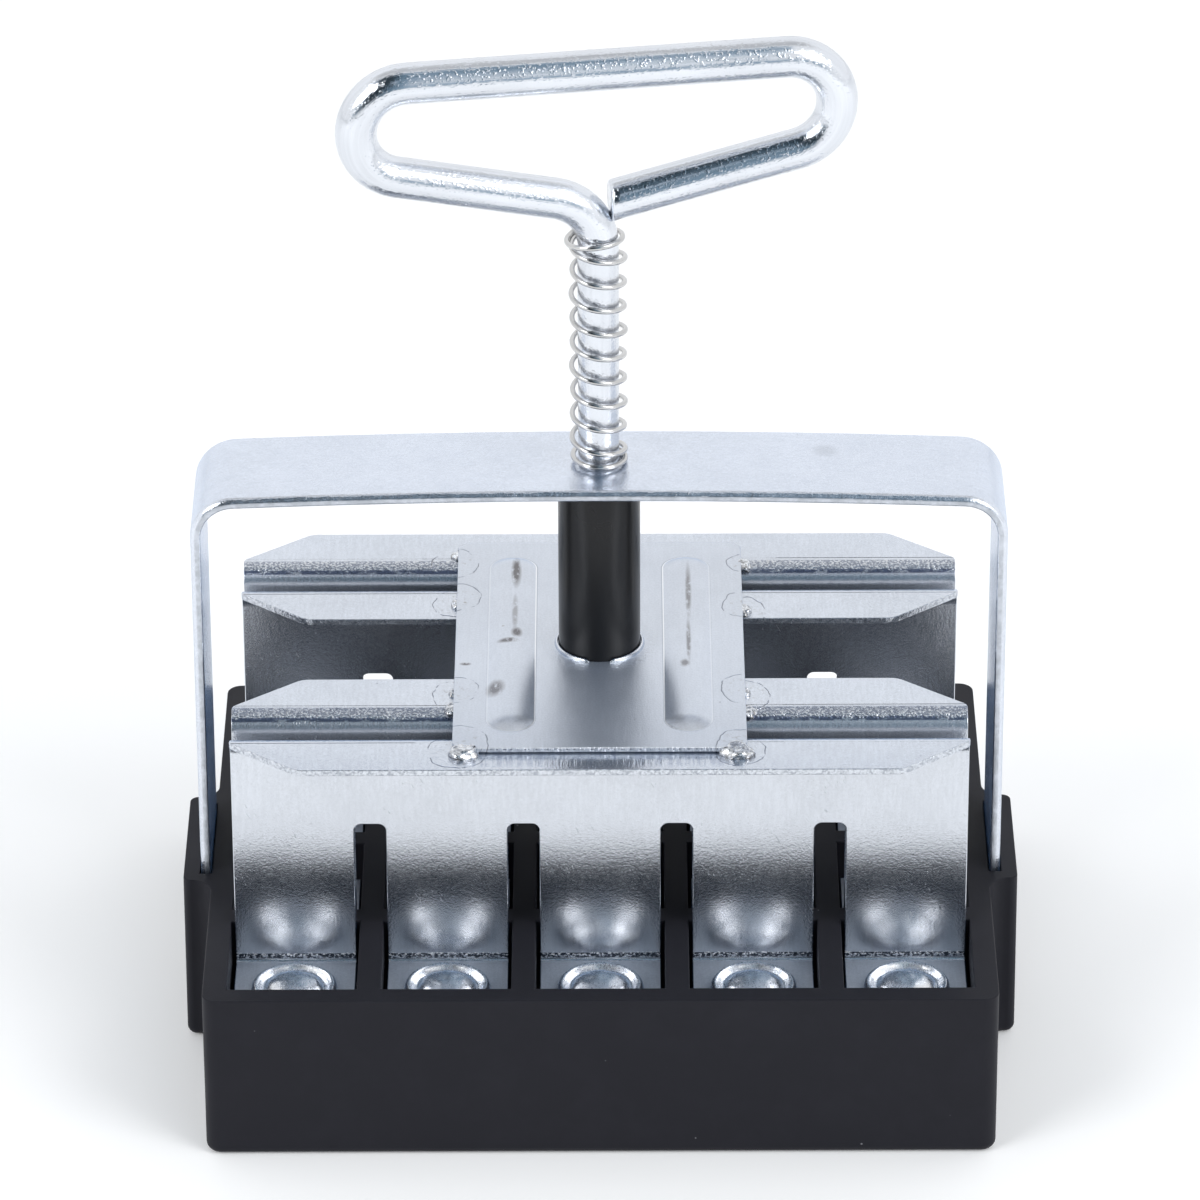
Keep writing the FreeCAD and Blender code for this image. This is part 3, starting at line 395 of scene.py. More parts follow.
def bridge_marks(shader):
    """Ribs outlined by a painted highlight line and a painted shade line, brown rub marks on them,
    a scuffed collar and a sheared front edge.
    """
    smear = shader.noise(0.0009, 3.0, 0.7, stretch=(1, 0.5, 1))
    broken = shader.span(shader.noise(0.004, 2.0, 0.7), 0.15, 0.34)
    stains = []
    for x, y, wide, long, kept in RUB_MARKS:
        apart = shader.distance((x, y, BRIDGE_TOP + RIB_HEIGHT), (1, wide / long, 0))
        stain = shader.times(shader.ramp(apart, wide * 0.45, wide * 1.1, 1, 0), kept)
        stains.append(shader.times(stain, broken) if long > LONG_RUB else stain)
    stain = shader.times(shader.most(*stains), shader.span(smear, 0.3, 0.48))
    shader.paint(colour(0.22, 0.19, 0.165), stain, 0.9)
    shader.wear(stain, 0.6)

    across = shader.math("SUBTRACT", shader.away("X"), RIB_OFFSET * MM)
    straight = (RIB_HALF_LENGTH - RIB_HALF_WIDTH) * MM
    beyond = shader.math("MAXIMUM", shader.math("SUBTRACT", shader.away("Y"), straight), 0.0)
    squares = shader.math("ADD", shader.times(across, across), shader.times(beyond, beyond))
    spine = shader.math("SQRT", squares)
    crisp = shader.ramp(across, -3.0, 3.0, 1.0, 0.3)
    # Painted highlight and painted shade: a white line just inside each rib's edge and a dark line
    # just outside it, fainter on the outer side.
    shader.paint(PAINTED_HIGHLIGHT_WHITE, shader.band(spine, 3.42, 3.54, 0.05), crisp, 0.9)
    shader.paint(CUT_EDGE_AND_SHADE_GREY, shader.band(spine, 3.62, 3.68, 0.06), crisp, 0.55)

    grime = shader.times(shader.specks(0.0029, 0.0003, 0.3), shader.span(smear, 0.5, 0.6))
    shader.paint(colour(0.34, 0.3, 0.25), grime, 0.7)
    collar = shader.distance((0, 0, BRIDGE_TOP), (1, 1, 0))
    dimples = shader.times(shader.band(collar, 7.0, 8.6, 0.5),
                           shader.ramp(shader.axis("Z"), 60.12, 60.05))
    shader.emboss(shader.noise(0.0007, 3.0, 0.8), 0.00025, dimples, 0.5)
    rim = shader.ramp(shader.axis("Y"), -30.95, -31.2)
    shear = shader.noise(0.0005, 2.0, 0.8, stretch=(1, 0.3, 0.25))
    shader.emboss(shear, 0.0003, rim, 0.8)
    lip = shader.times(rim, shader.band(shader.axis("Z"), 59.66, 59.8, 0.06))
    shader.paint(colour(0.16, 0.17, 0.2), lip, shader.span(shear, 0.5, 0.4), 0.8)
    weld_rings(shader)


def strap_marks(shader):
    """Dragged lines on the sheared, rolled-over long edges, and a thumb mark on the top."""
    edge = shader.ramp(shader.away("Y"), 9.05, 9.3)
    drag = shader.noise(0.0006, 3.0, 0.7, stretch=(0.16, 1, 0.16))
    shader.emboss(drag, 0.00025, edge, 0.5)
    crinkle = shader.noise(0.0019, 4.0, 0.7)
    shader.emboss(crinkle, 0.00006, 0.6)
    shader.paint(colour(0.5, 0.53, 0.6), shader.span(crinkle, 0.52, 0.6), 0.1)
    sheared = shader.span(shader.math("ABSOLUTE", shader.facing("Y")), 0.9, 0.97)
    nicks = shader.noise(0.0011, 3.0, 0.7, stretch=(0.5, 1, 0.5))
    shader.paint(colour(0.4, 0.42, 0.45), sheared, shader.span(nicks, 0.4, 0.6, 0.75, 0.3))
    shader.wear(sheared, 0.36)
    apart = shader.distance((33.2, 3.7, STRAP_TOP))
    thumb = shader.span(apart, 0.0008, 0.0026, 1, 0, smooth=True)
    shader.paint(colour(0.42, 0.43, 0.44), thumb, 0.35)


def bar_steel(name, rough, tint, streaks, fleck_depth, satin_below=None):
    """Drawn round bar: streaks along its length, fine flecks, and satin below that height."""
    shader = Shader(name, {"Metallic": 1.0})
    upright = shader.axis("Z")
    shader.follow_bar()
    drawn = shader.noise(0.0006, 4.0, 0.7, stretch=(0.015, 1, 1))
    clouds = shader.noise(0.006, 3.0, 0.6, stretch=(0.4, 1, 1))
    flecks = shader.span(shader.noise(0.00034, 1.0, 0.5, stretch=(0.7, 1, 1)), 0.55, 0.72)
    dust = shader.specks(0.0012, 0.00017, 0.1)
    tone = shader.math("ADD", shader.times(drawn, 0.5), shader.times(clouds, 0.5))
    shader.base = shader.mix(shader.span(tone, 0.38, 0.6), shade(tint, 0.88), tint)
    shader.worn = shader.span(tone, 0.35, 0.65, *rough)
    shader.wear(dust, 0.5)
    if satin_below:
        shader.wear(shader.ramp(upright, satin_below, satin_below + 3, 0.26, 0))
    shader.emboss(drawn, 0.00005, streaks)
    shader.emboss(flecks, 0.00007, fleck_depth)
    shader.emboss(dust, 0.00006, 0.8)
    return shader.finished()


def weld_bead_metal():
    """Melted zinc and steel: bright, lumpy, with a brown burnt rim."""
    shader = Shader("weld_bead_metal", {"Metallic": 1.0})
    lumps = shader.noise(0.0006, 3.0, 0.7)
    low = shader.ramp(shader.axis("Z"), 59.3, 60.1, 1, 0)
    shader.base = shader.mix(shader.span(lumps, 0.42, 0.58), colour(0.5, 0.51, 0.53),
                             colour(0.82, 0.84, 0.87))
    shader.paint(colour(0.30, 0.27, 0.24), low, shader.span(lumps, 0.6, 0.4), 0.6)
    shader.worn = shader.span(lumps, 0.35, 0.65, 0.12, 0.3)
    shader.emboss(lumps, 0.0001, 0.3)
    return shader.finished()


def plastic(name, tone, rough, gloss):
    """Black moulded plastic with a fine satin grain, a little dust and rubbed patches."""
    shader = Shader(name, {"Specular IOR Level": gloss})
    grain = shader.noise(0.0005, 2.0, 0.7)
    clouds = shader.noise(0.02, 3.0, 0.5)
    rubbed = shader.noise(0.007, 4.0, 0.65)
    dust = shader.specks(0.0046, 0.00019, 0.35)
    shader.base = shader.mix(shader.span(rubbed, 0.45, 0.75), tone, shade(tone, 1.12))
    shader.paint(colour(0.26, 0.26, 0.28), dust, 0.7)
    shader.worn = shader.span(clouds, 0.3, 0.7, *rough)
    shader.emboss(grain, 0.00003, 0.3)
    shader.emboss(dust, 0.00005, 0.6)
    return shader.finished()


SHEET_ZINC = zinc("sheet_zinc")
PLATE_ZINC = zinc("plate_zinc", extra=plate_marks, ripples=0.0)
BRIDGE_ZINC = zinc("bridge_zinc", rough=(0.31, 0.38), extra=bridge_marks, haze=0.14, marked=0.08)
LIP_ZINC = zinc("lip_zinc", rough=(0.2, 0.28), tint=colour(0.75, 0.775, 0.82))
STUD_ZINC = zinc("stud_zinc", rough=(0.24, 0.32), tint=colour(0.92, 0.93, 0.95))
STRAP_ZINC = zinc("strap_zinc", rough=(0.18, 0.25), tint=colour(0.77, 0.8, 0.86),
                  extra=strap_marks, rolled=(0.4, 1, 0.4), marked=0.08)
ROD_ZINC = bar_steel("rod_zinc", rough=(0.1, 0.17), tint=colour(0.77, 0.795, 0.84), streaks=0.7,
                     fleck_depth=0.3, satin_below=124)
SPRING_STEEL = bar_steel("spring_wire_steel", rough=(0.12, 0.2), tint=colour(0.62, 0.615, 0.61),
                         streaks=0.3, fleck_depth=0.1)
WELD_METAL = weld_bead_metal()
BOX_PLASTIC = plastic("box_plastic", colour(0.0165, 0.0165, 0.0215), (0.42, 0.55), 0.12)
SLEEVE_PLASTIC = plastic("sleeve_plastic_finish", colour(0.008, 0.008, 0.009), (0.24, 0.32), 0.3)

# Finish of the CAD nodes that stay, and the width, segments and least angle of their rounding.
FINISHES = {"mould_box": BOX_PLASTIC, "stop_sleeve": SLEEVE_PLASTIC}
ROUNDING = {"mould_box": (0.25, 3, 40), "stop_sleeve": (0.2, 3, 60), "rod_washer": (0.15, 2, 40),
            "rod_nut": (0.12, 2, 40)}
PLATE_ROUNDING = (0.12, 2, 40)


def round_edges(item, width, segments, angle):
    """Round the edges over that angle, and let the large faces decide how it is shaded."""
    round_off = item.modifiers.new("round", "BEVEL")
    round_off.width = width * MM
    round_off.segments = segments
    round_off.limit_method = "ANGLE"
    round_off.angle_limit = math.radians(angle)
    even = item.modifiers.new("even", "WEIGHTED_NORMAL")
    even.weight = 90
    even.keep_sharp = True


def soften(item, width, segments, angle):
    """Round a CAD node's sharp edges, with modifiers only."""
    weld = item.modifiers.new("weld", "WELD")
    weld.merge_threshold = MERGE_DISTANCE * MM
    flat = item.modifiers.new("flat", "DECIMATE")
    flat.decimate_type = "DISSOLVE"
    flat.angle_limit = math.radians(0.5)
    round_edges(item, width, segments, angle)


for node_name, item in nodes.items():
    sheet = node_name.startswith("pusher_plate")
    item.data.materials.clear()
    item.data.materials.append(PLATE_ZINC if sheet else FINISHES.get(node_name, SHEET_ZINC))
    rounding = PLATE_ROUNDING if sheet else ROUNDING.get(node_name)
    if rounding:
        soften(item, *rounding)


# ---------------- pieces

def placed(name, data):
    """A new object in the scene."""
    item = bpy.data.objects.new(name, data)
    bpy.context.scene.collection.objects.link(item)
    return item


def add_piece(name, shape, material, body, replaced, flow=None):
    """A smooth piece that rides on a body, and stands for a CAD node if it replaces one.

    The shape is its points in millimetres and its faces, and flow is what follow_bar reads.
    """
    points, faces = shape
    mesh = bpy.data.meshes.new(name)
    mesh.from_pydata([[value * MM for value in point] for point in points], [], faces)
    mesh.update()
    for face in mesh.polygons:
        face.use_smooth = True
    if flow:
        carried = mesh.attributes.new("flow", "FLOAT_VECTOR", "POINT")
        carried.data.foreach_set("vector", [value * MM for place in flow for value in place])
    mesh.materials.append(material)
    item = placed(name, mesh)
    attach(item, body)
    if replaced:
        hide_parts(replaced)
    return item


def mend(item):
    """Merge points that meet, and turn every face outward."""
    work = bmesh.new()
    work.from_mesh(item.data)
    bmesh.ops.remove_doubles(work, verts=work.verts, dist=MERGE_DISTANCE * MM)
    bmesh.ops.recalc_face_normals(work, faces=work.faces)
    work.to_mesh(item.data)
    work.free()


def crease(item, angle):
    """Keep a piece's edges over that angle sharp."""
    item.data.set_sharp_from_angle(angle=math.radians(angle))


def clamped(value):
    return max(0.0, min(1.0, value))


def circle(sides):
    """Directions all round, as (cosine, sine)."""
    angles = [math.tau * step / sides for step in range(sides)]
    return [(math.cos(angle), math.sin(angle)) for angle in angles]


def tube(rows, sides, left_out=()):
    """Faces between rows of points that run round a tube, with a cap at each end.

    Left out are the (row, side) places of its openings.
    """
    faces = []
    for row in range(rows - 1):
        for side in range(sides):
            if (row, side) not in left_out:
                a = row * sides + side
                b = row * sides + (side + 1) % sides
                faces.append((a, b, b + sides, a + sides))
    faces.append(tuple(reversed(range(sides))))
    faces.append(tuple(range((rows - 1) * sides, rows * sides)))
    return faces


def join(parts):
    """One shape from several."""
    points, faces = [], []
    for more_points, more_faces in parts:
        first = len(points)
        points += more_points
        faces += [tuple(first + corner for corner in face) for face in more_faces]
    return points, faces


def sweep(path, radii, sides):
    """Shape and flow of a round bar along a path, with its two ends closed."""
    points, flow = [], []
    path = [Vector(point) for point in path]
    heading = (path[1] - path[0]).normalized()
    side = heading.orthogonal().normalized()
    travelled = 0.0
    for number, (here, radius) in enumerate(zip(path, radii)):
        before = path[max(number - 1, 0)]
        after = path[min(number + 1, len(path) - 1)]
        if (after - before).length > 1e-9:
            heading = (after - before).normalized()
            side = (side - heading * side.dot(heading)).normalized()
        other = heading.cross(side)
        travelled += (here - before).length
        for cosine, sine in circle(sides):
            points.append(here + (side * cosine + other * sine) * radius)
            flow.append((travelled, radius * cosine, radius * sine))
    return (points, tube(len(path), sides)), flow


# ---------------- spring and handle

def spring_line():
    """Centre line of the left-handed spring, with a closed coil at each end.

    The handle's neck pushes the top coil aside and tilts it.
    """
    turns, per_turn = 11, 56
    foot, top, radius, closed = 90.95, 127.48, 3.85, 0.9
    start_angle, aside, tilt, wobble = 1.2, 0.75, 0.27, 0.08
    steps = turns * per_turn

    def pitch(turn):
        ease = clamped(min(turn - 0.75, turns - 0.85 - turn) / 0.5)
        return ease * ease * (3 - 2 * ease)

    rise = [0.0]
    for step in range(steps):
        rise.append(rise[-1] + pitch((step + 0.5) / per_turn) / per_turn)
    open_rise = top - foot - closed * turns
    line = []
    for step in range(steps + 1):
        turn = step / per_turn
        angle = start_angle - math.tau * turn
        x, y = radius * math.cos(angle), radius * math.sin(angle)
        z = foot + closed * turn + open_rise * rise[step] / rise[-1]
        pushed = clamped((turn - 9.5) / 1.3) ** 2
        wander = wobble * math.sin(turn * 2.3)
        line.append((x - aside * pushed + wander, y, z + tilt * x * pushed))
    return line


def make_spring():
    line = spring_line()
    wire, cut = 0.4, 0.32
    radii = [cut] + [wire] * (len(line) - 2) + [cut]
    shape, flow = sweep(line, radii, 16)
    spring = add_piece("spring_wire", shape, SPRING_STEEL, "frame",
                       "return_spring", flow)
    crease(spring, 50)
    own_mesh(spring)


def arc(centre, radius, start, end, count):
    """Points on an arc between two angles in degrees."""
    angles = [math.radians(start + (end - start) * step / count) for step in range(count + 1)]
    return [(centre[0] + radius * math.cos(angle), centre[1] + radius * math.sin(angle))
            for angle in angles]


def run(start, end, count):
    """Points on a straight run between two places."""
    return [(start[0] + (end[0] - start[0]) * step / count,
             start[1] + (end[1] - start[1]) * step / count) for step in range(count + 1)]


def handle_line():
    """Centre line of the rod from the bridge plate up and round the loop, as (across, height).

    The loop's lower bars rise towards its ends by LOOP_SLOPE.
    """
    half_width, grip, end_radius, neck_radius, cut = 34.85, 153.4, 7.4, 8.0, 1.7
    slope = math.radians(LOOP_SLOPE)
    end_x, end_z = half_width - end_radius, grip - end_radius
    bar_x = end_x + end_radius * math.sin(slope)
    bar_z = end_z - end_radius * math.cos(slope)
    meet_z = bar_z - bar_x * math.tan(slope)
    neck_z = meet_z - neck_radius * math.tan((math.pi / 2 - slope) / 2)
    last = (cut, meet_z + cut * math.tan(slope))
    line = [(0, FLANGE_TOP), (0, FLANGE_TOP + 0.3)]
    line += run(line[-1], (0, neck_z), 24)[1:]
    line += arc((-neck_radius, neck_z), neck_radius, 0, 90 - LOOP_SLOPE, 16)[1:]
    line += run(line[-1], (-bar_x, bar_z), 14)[1:]
    line += arc((-end_x, end_z), end_radius, 270 - LOOP_SLOPE, 90, 28)[1:]
    line += run(line[-1], (end_x, grip), 24)[1:]
    line += arc((end_x, end_z), end_radius, 90, -90 + LOOP_SLOPE, 28)[1:]
    line += run(line[-1], last, 16)[1:]
    return line


def thread_line():
    """Centre line and radii of the rod's threaded foot, which starts with a chamfer."""
    radius, tip_radius, depth, pitch = THREAD_RADIUS, 2.05, 0.28, 0.8
    path, radii = [], []
    for step in range(64):
        above = step * 0.1
        shaped = radius - depth * abs(above % pitch / pitch * 2 - 1)
        path.append((0, 0, THREAD_FOOT + above))
        radii.append(min(shaped, tip_radius + above * 0.9))
    return path + [(0, 0, FLANGE_TOP)], radii + [radius]


def make_handle():
    """The bent rod, whose free end is cut off at a slant and has a worn edge."""
    sides, slant, turn = 48, 0.2, math.radians(LOOP_TURN)
    thread, thread_radii = thread_line()
    path = [(x * math.cos(turn), x * math.sin(turn), z) for x, z in handle_line()]
    end = Vector(path.pop())
    back = (Vector(path[-1]) - end).normalized()
    radii = [ROD_RADIUS] * len(path)
    worn_edge = ((0.45, ROD_RADIUS), (0.2, 2.9), (0.05, 2.72), (0.0, 2.45))
    for inward, radius in worn_edge:
        path.append(end + back * inward)
        radii.append(radius)
    shape, flow = sweep(thread + path, thread_radii + radii, sides)
    for point in shape[0][-len(worn_edge) * sides:]:
        point -= back * (slant * (end.z - point.z))
    handle = add_piece("handle_bar", shape, ROD_ZINC, "pusher", "handle_rod", flow)
    crease(handle, 40)


# ---------------- studs and welds

def lathe(profile, centre, sides, uneven, seed):
    """Shape of a round solid about Z, from (radius, height) pairs, foot to top, with dents."""
    points = []
    for radius, height in profile:
        for cosine, sine in circle(sides):
            x, y = radius * cosine, radius * sine
            dent = uneven * noise.noise(Vector((x * 0.7 + seed, y * 0.7, height)))
            points.append((centre[0] + x, centre[1] + y, centre[2] + height + dent))
    return points, tube(len(profile), sides)


def smooth_profile(points, steps):
    """Points of a smooth curve through the given ones, that stays clear of the axis."""
    curve = [points[0]]
    for number in range(len(points) - 1):
        before = Vector(points[max(number - 1, 0)])
        start, end = Vector(points[number]), Vector(points[number + 1])
        after = Vector(points[min(number + 2, len(points) - 1)])
        for step in range(1, steps + 1):
            t = step / steps
            here = 0.5 * (2 * start + (end - before) * t
                          + (2 * before - 5 * start + 4 * end - after) * t ** 2
                          + (3 * start - before - 3 * end + after) * t ** 3)
            curve.append((max(here.x, 0.02), here.y))
    return curve


def make_studs(node_name):
    """A row of pressed studs: round heads, each over a short pin."""
    low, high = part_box(node_name)
    middle = (low[1] + high[1]) / 2 / MM
    profile = [*PIN_PROFILE, *smooth_profile(STUD_PROFILE, 4)]
    row = []
    for number in range(COLUMNS):
        place = (CELL_PITCH * (number - (COLUMNS - 1) / 2), middle, FOOT_TOP)
        row.append(lathe(profile, place, 48, 0.12, number * 7 + middle))
    studs = add_piece(node_name.replace("dimple_studs", "stud_row"), join(row), STUD_ZINC,
                      "pusher", node_name)
    crease(studs, 50)


def bead(place, width, height, seed, long, turn):
    """One lumpy drop of weld metal with a sunk crown, long along a turned direction."""
    rings, sides = 14, 28
    lumps, crater, crater_reach = 0.3, 0.22, 0.5
    points = []
    for ring in range(rings + 1):
        tilt = math.pi / 2 * ring / rings
        for cosine, sine in circle(sides):
            spot = Vector((cosine * math.cos(tilt), sine * math.cos(tilt), math.sin(tilt)))
            lump = 1 + lumps * noise.noise(spot * 1.5 + Vector((seed, 0, 0)))
            x = spot.x * width * lump * long
            y = spot.y * width * lump
            sunk = 1 - crater * max(0.0, 1 - (math.cos(tilt) / crater_reach) ** 2)
            z = max(0.0, spot.z) ** 0.8 * height * lump * sunk
            points.append((place[0] + x * math.cos(turn) - y * math.sin(turn),
                           place[1] + x * math.sin(turn) + y * math.cos(turn), place[2] + z))
    return points, tube(rings + 1, sides)


def make_weld_beads():
    """Tack welds, each a bead with a smaller one beside it."""
    apart = 0.9
    beads = []
    for number, (x, y, width, height, turn) in enumerate(WELD_BEADS):
        beside = (x + apart * math.cos(turn), y + apart * math.sin(turn), FLANGE_TOP)
        beads.append(bead((x, y, FLANGE_TOP), width, height, number * 3.7, 1.25, turn))
        beads.append(bead(beside, width * 0.55, height * 0.8, number * 5.1 + 2, 1.1, turn))
    mend(add_piece("weld_beads", join(beads), WELD_METAL, "pusher", "tack_welds"))


# ---------------- bridge plate

def rib_rise(x, y):
    """Height of the pressed ribs above the bridge plate at a place."""
    across = abs(abs(x) - RIB_OFFSET)
    beyond = max(0.0, abs(y) - (RIB_HALF_LENGTH - RIB_HALF_WIDTH))
    inward = (RIB_HALF_WIDTH - math.hypot(across, beyond)) / RIB_HALF_WIDTH
    if inward <= 0:
        return 0.0
    return RIB_HEIGHT * (1 - (1 - min(1.0, inward)) ** 1.9) * min(1.0, inward / 0.045)


def spread(low, high, step):
    """Even places from low to high, both included."""
    count = max(1, round((high - low) / step))
    return [low + (high - low) * number / count for number in range(count + 1)]


def grid_lines(marks):
    """Grid lines from (low, high, step) runs, in order and mirrored about 0."""
    found = {round(value, 4) for mark in marks for value in spread(*mark)}
    return sorted(found | {-value for value in found})


def make_bridge():
    """Bridge plate as a pressed sheet: ribs hollow from below, cut corners, round middle hole."""
    half_x, half_y, cut, middle = 21.4, 31.3, 1.5, 8.0
    rib_in, rib_out = RIB_OFFSET - RIB_HALF_WIDTH, RIB_OFFSET + RIB_HALF_WIDTH
    end_start, end_stop = RIB_HALF_LENGTH - RIB_HALF_WIDTH - 0.2, RIB_HALF_LENGTH + 0.2
    xs = grid_lines([(0, middle, 1.0), (rib_in - 0.2, rib_in + 0.8, 0.1),
                     (rib_in + 0.8, rib_out - 0.8, 0.3), (rib_out - 0.8, rib_out + 0.2, 0.1),
                     (half_x - cut, half_x, cut)])
    ys = grid_lines([(0, middle, 1.0), (middle, end_start, 1.8), (end_start, end_stop - 1.0, 0.25),
                     (end_stop - 1.0, end_stop, 0.1), (half_y - cut, half_y, cut)])
    points, faces, known = [], [], {}

    def corner(x, y, top):
        """Number of a point of the sheet, which is thinner at its front and rear edges."""
        key = (round(x, 4), round(y, 4), top)
        if key not in known:
            known[key] = len(points)
            lifted = 0.22 * clamped((abs(y) - 28.0) / 2.5)
            thick = BRIDGE_TOP - FLANGE_TOP if top else lifted
            points.append((x, y, FLANGE_TOP + rib_rise(x, y) + thick))
        return known[key]

    def tile(places):
        """One face of the upper side, and the same of the lower side."""
        faces.append(tuple(corner(x, y, True) for x, y in places))
        faces.append(tuple(corner(x, y, False) for x, y in reversed(places)))

    def wall(line):
        """Faces between the lower and the upper side along a closed line."""
        for start, end in zip(line, line[1:] + line[:1]):
            faces.append((corner(*start, False), corner(*end, False),
                          corner(*end, True), corner(*start, True)))

    for x0, x1 in zip(xs, xs[1:]):
        for y0, y1 in zip(ys, ys[1:]):
            if max(abs(x0), abs(x1), abs(y0), abs(y1)) > middle:
                places = [(x0, y0), (x1, y0), (x1, y1), (x0, y1)]
                tile([(x, y) for x, y in places if (abs(x), abs(y)) != (half_x, half_y)])

    even = spread(-middle, middle, 1.0)[:-1]
    square = [(value, -middle) for value in even] + [(middle, value) for value in even]
    square += [(-value, middle) for value in even] + [(-middle, -value) for value in even]
    rings = [square]
    for radius in (7.2, 6.6, 6.1, 4.4, 2.6):
        angles = [math.atan2(y, x) for x, y in square]
        rings.append([(radius * math.cos(angle), radius * math.sin(angle)) for angle in angles])
    for outer, inner in zip(rings, rings[1:]):
        for number in range(len(square)):
            following = (number + 1) % len(square)
            tile([outer[number], outer[following], inner[following], inner[number]])

    border = [(x, -half_y) for x in xs[1:-1]] + [(half_x, y) for y in ys[1:-1]]
    border += [(x, half_y) for x in reversed(xs[1:-1])]
    border += [(-half_x, y) for y in reversed(ys[1:-1])]
    wall(border)
    wall(rings[-1][::-1])

    plate = add_piece("bridge_sheet", (points, faces), BRIDGE_ZINC, "pusher",
                      "bridge_plate")
    crease(plate, 60)
    round_edges(plate, 0.14, 3, 60)


def make_collar_lips():
    """Two low round-edged lips of the bridge plate's collar, open at the front and the rear."""
    section = [(6.15, -0.05), (6.15, 0.42), (6.2, 0.52), (6.3, 0.57), (6.42, 0.56), (6.52, 0.48),
               (6.6, 0.34), (6.64, 0.15), (6.7, -0.05)]
    slices = 40
    opening = math.asin(1.5 / 6.4)
    reach = math.pi - 2 * opening
    lips = []
    for start in (opening - math.pi / 2, opening + math.pi / 2):
        points = []
        for number in range(slices + 1):
            angle = start + reach * number / slices
            # The lips are lower at their ends.
            tip = min(1.0, min(number, slices - number) / 2 + 0.35)
            for radius, height in section:
                points.append((radius * math.cos(angle), radius * math.sin(angle),
                               BRIDGE_TOP + height * tip))
        lips.append((points, tube(slices + 1, len(section))))
    crease(add_piece("collar_lips", join(lips), LIP_ZINC, "pusher", None), 60)


# ---------------- strap and its screws

def strap_section():
    """Outline of the flat bar as (across, out), and the number of points on its crisp inside."""
    half, thick, outside, inside = STRAP_HALF_WIDTH, STRAP_THICKNESS, 0.95, 0.22
    flats = [0, 1.25, 2.5, 3.75, 5, 7, half - outside - 0.2]
    flats = [-value for value in flats[:0:-1]] + flats
    section = [(value, 0.0) for value in flats]
    section += arc((half - inside, inside), inside, -90, 0, INNER_EDGE_STEPS)
    section += arc((half - outside, thick - outside), outside, 0, 90, OUTER_EDGE_STEPS)
    section += [(value, thick) for value in reversed(flats)]
    section += arc((-half + outside, thick - outside), outside, 90, 180, OUTER_EDGE_STEPS)
    section += arc((-half + inside, inside), inside, 180, 270, INNER_EDGE_STEPS)
    return section, len(flats)


def strap_path():
    """Inner line of the bent bar with its outward direction, from foot to foot."""
    inner_x, bend_x, inner_bend, crown = 58.2, 53.2, 5.0, 1350.0
    outer_bend, inner_crown = inner_bend + STRAP_THICKNESS, crown - STRAP_THICKNESS
    crown_centre = STRAP_TOP - crown
    bend_z = crown_centre + math.sqrt((crown - outer_bend) ** 2 - bend_x ** 2)
    tilt = math.asin(bend_x / (crown - outer_bend))
    right = [(inner_x, z, 1.0, 0.0) for z in (3, 3.7, 4.4, 5, 12, 22, 32, 44, 56, 68, 78, bend_z)]
    for step in range(1, 15):
        angle = (math.pi / 2 - tilt) * step / 14
        out_x, out_z = math.cos(angle), math.sin(angle)
        right.append((bend_x + inner_bend * out_x, bend_z + inner_bend * out_z, out_x, out_z))
    for x in (46, 38, 30, 22, 14, 8, 5, 3.75, 2.5, 1.25):
        angle = math.asin(x / inner_crown)
        out_x, out_z = math.sin(angle), math.cos(angle)
        right.append((x, crown_centre + inner_crown * out_z, out_x, out_z))
    top = [(0.0, crown_centre + inner_crown, 0.0, 1.0)]
    left = [(-x, z, -out_x, out_z) for x, z, out_x, out_z in reversed(right)]
    return right + top + left


def make_strap():
    """The bent flat bar, with cut corners at its feet and a round hole for the rod."""
    corner_top, hole_reach = 5.0, 4
    section, inner_count = strap_section()
    path = strap_path()
    count = len(section)
    points = []
    for x, z, out_x, out_z in path:
        on_leg = abs(x) > 50
        half = STRAP_HALF_WIDTH - (max(0.0, corner_top - z) if on_leg else 0.0)
        for across, out in section:
            points.append((x + out * out_x, max(-half, min(half, across)), z + out * out_z))

    # A square of faces is left out on either side of the bar, round the rod.
    centre = len(path) // 2
    rows = range(centre - hole_reach, centre + hole_reach + 1)
    first_inner = inner_count // 2 - hole_reach
    first_outer = first_inner + inner_count + INNER_EDGE_STEPS + 1 + OUTER_EDGE_STEPS + 1
    square = {(row, first + step) for first in (first_inner, first_outer)
              for row in rows[:-1] for step in range(2 * hole_reach)}
    faces = tube(len(path), count, square)

    def bearing(index):
        """Direction of a point from the rod's axis."""
        return math.atan2(points[index][1], points[index][0])

    rims = []
    for first in (first_inner, first_outer):
        last = first + 2 * hole_reach
        z = points[centre * count + first][2]
        loop = [row * count + first for row in rows]
        loop += [rows[-1] * count + step for step in range(first + 1, last)]
        loop += [row * count + last for row in reversed(rows)]
        loop += [rows[0] * count + step for step in range(last - 1, first, -1)]
        for radius in (HOLE_RADIUS + 0.5, HOLE_RADIUS):
            ring = list(range(len(points), len(points) + len(loop)))
            points += [(radius * math.cos(angle), radius * math.sin(angle), z)
                       for angle in map(bearing, loop)]
            for number in range(len(loop)):
                faces.append((loop[number], loop[number - 1], ring[number - 1], ring[number]))
            loop = ring
        rims.append(ring)
    lower, upper = rims
    above = [min(upper, key=lambda other: abs(bearing(other) - bearing(index))) for index in lower]
    for number in range(len(lower)):
        faces.append((lower[number - 1], lower[number], above[number], above[number - 1]))

    strap = add_piece("strap_bar", (points, faces), STRAP_ZINC, "frame",
                      "strap_frame")
    mend(strap)
    crease(strap, 50)


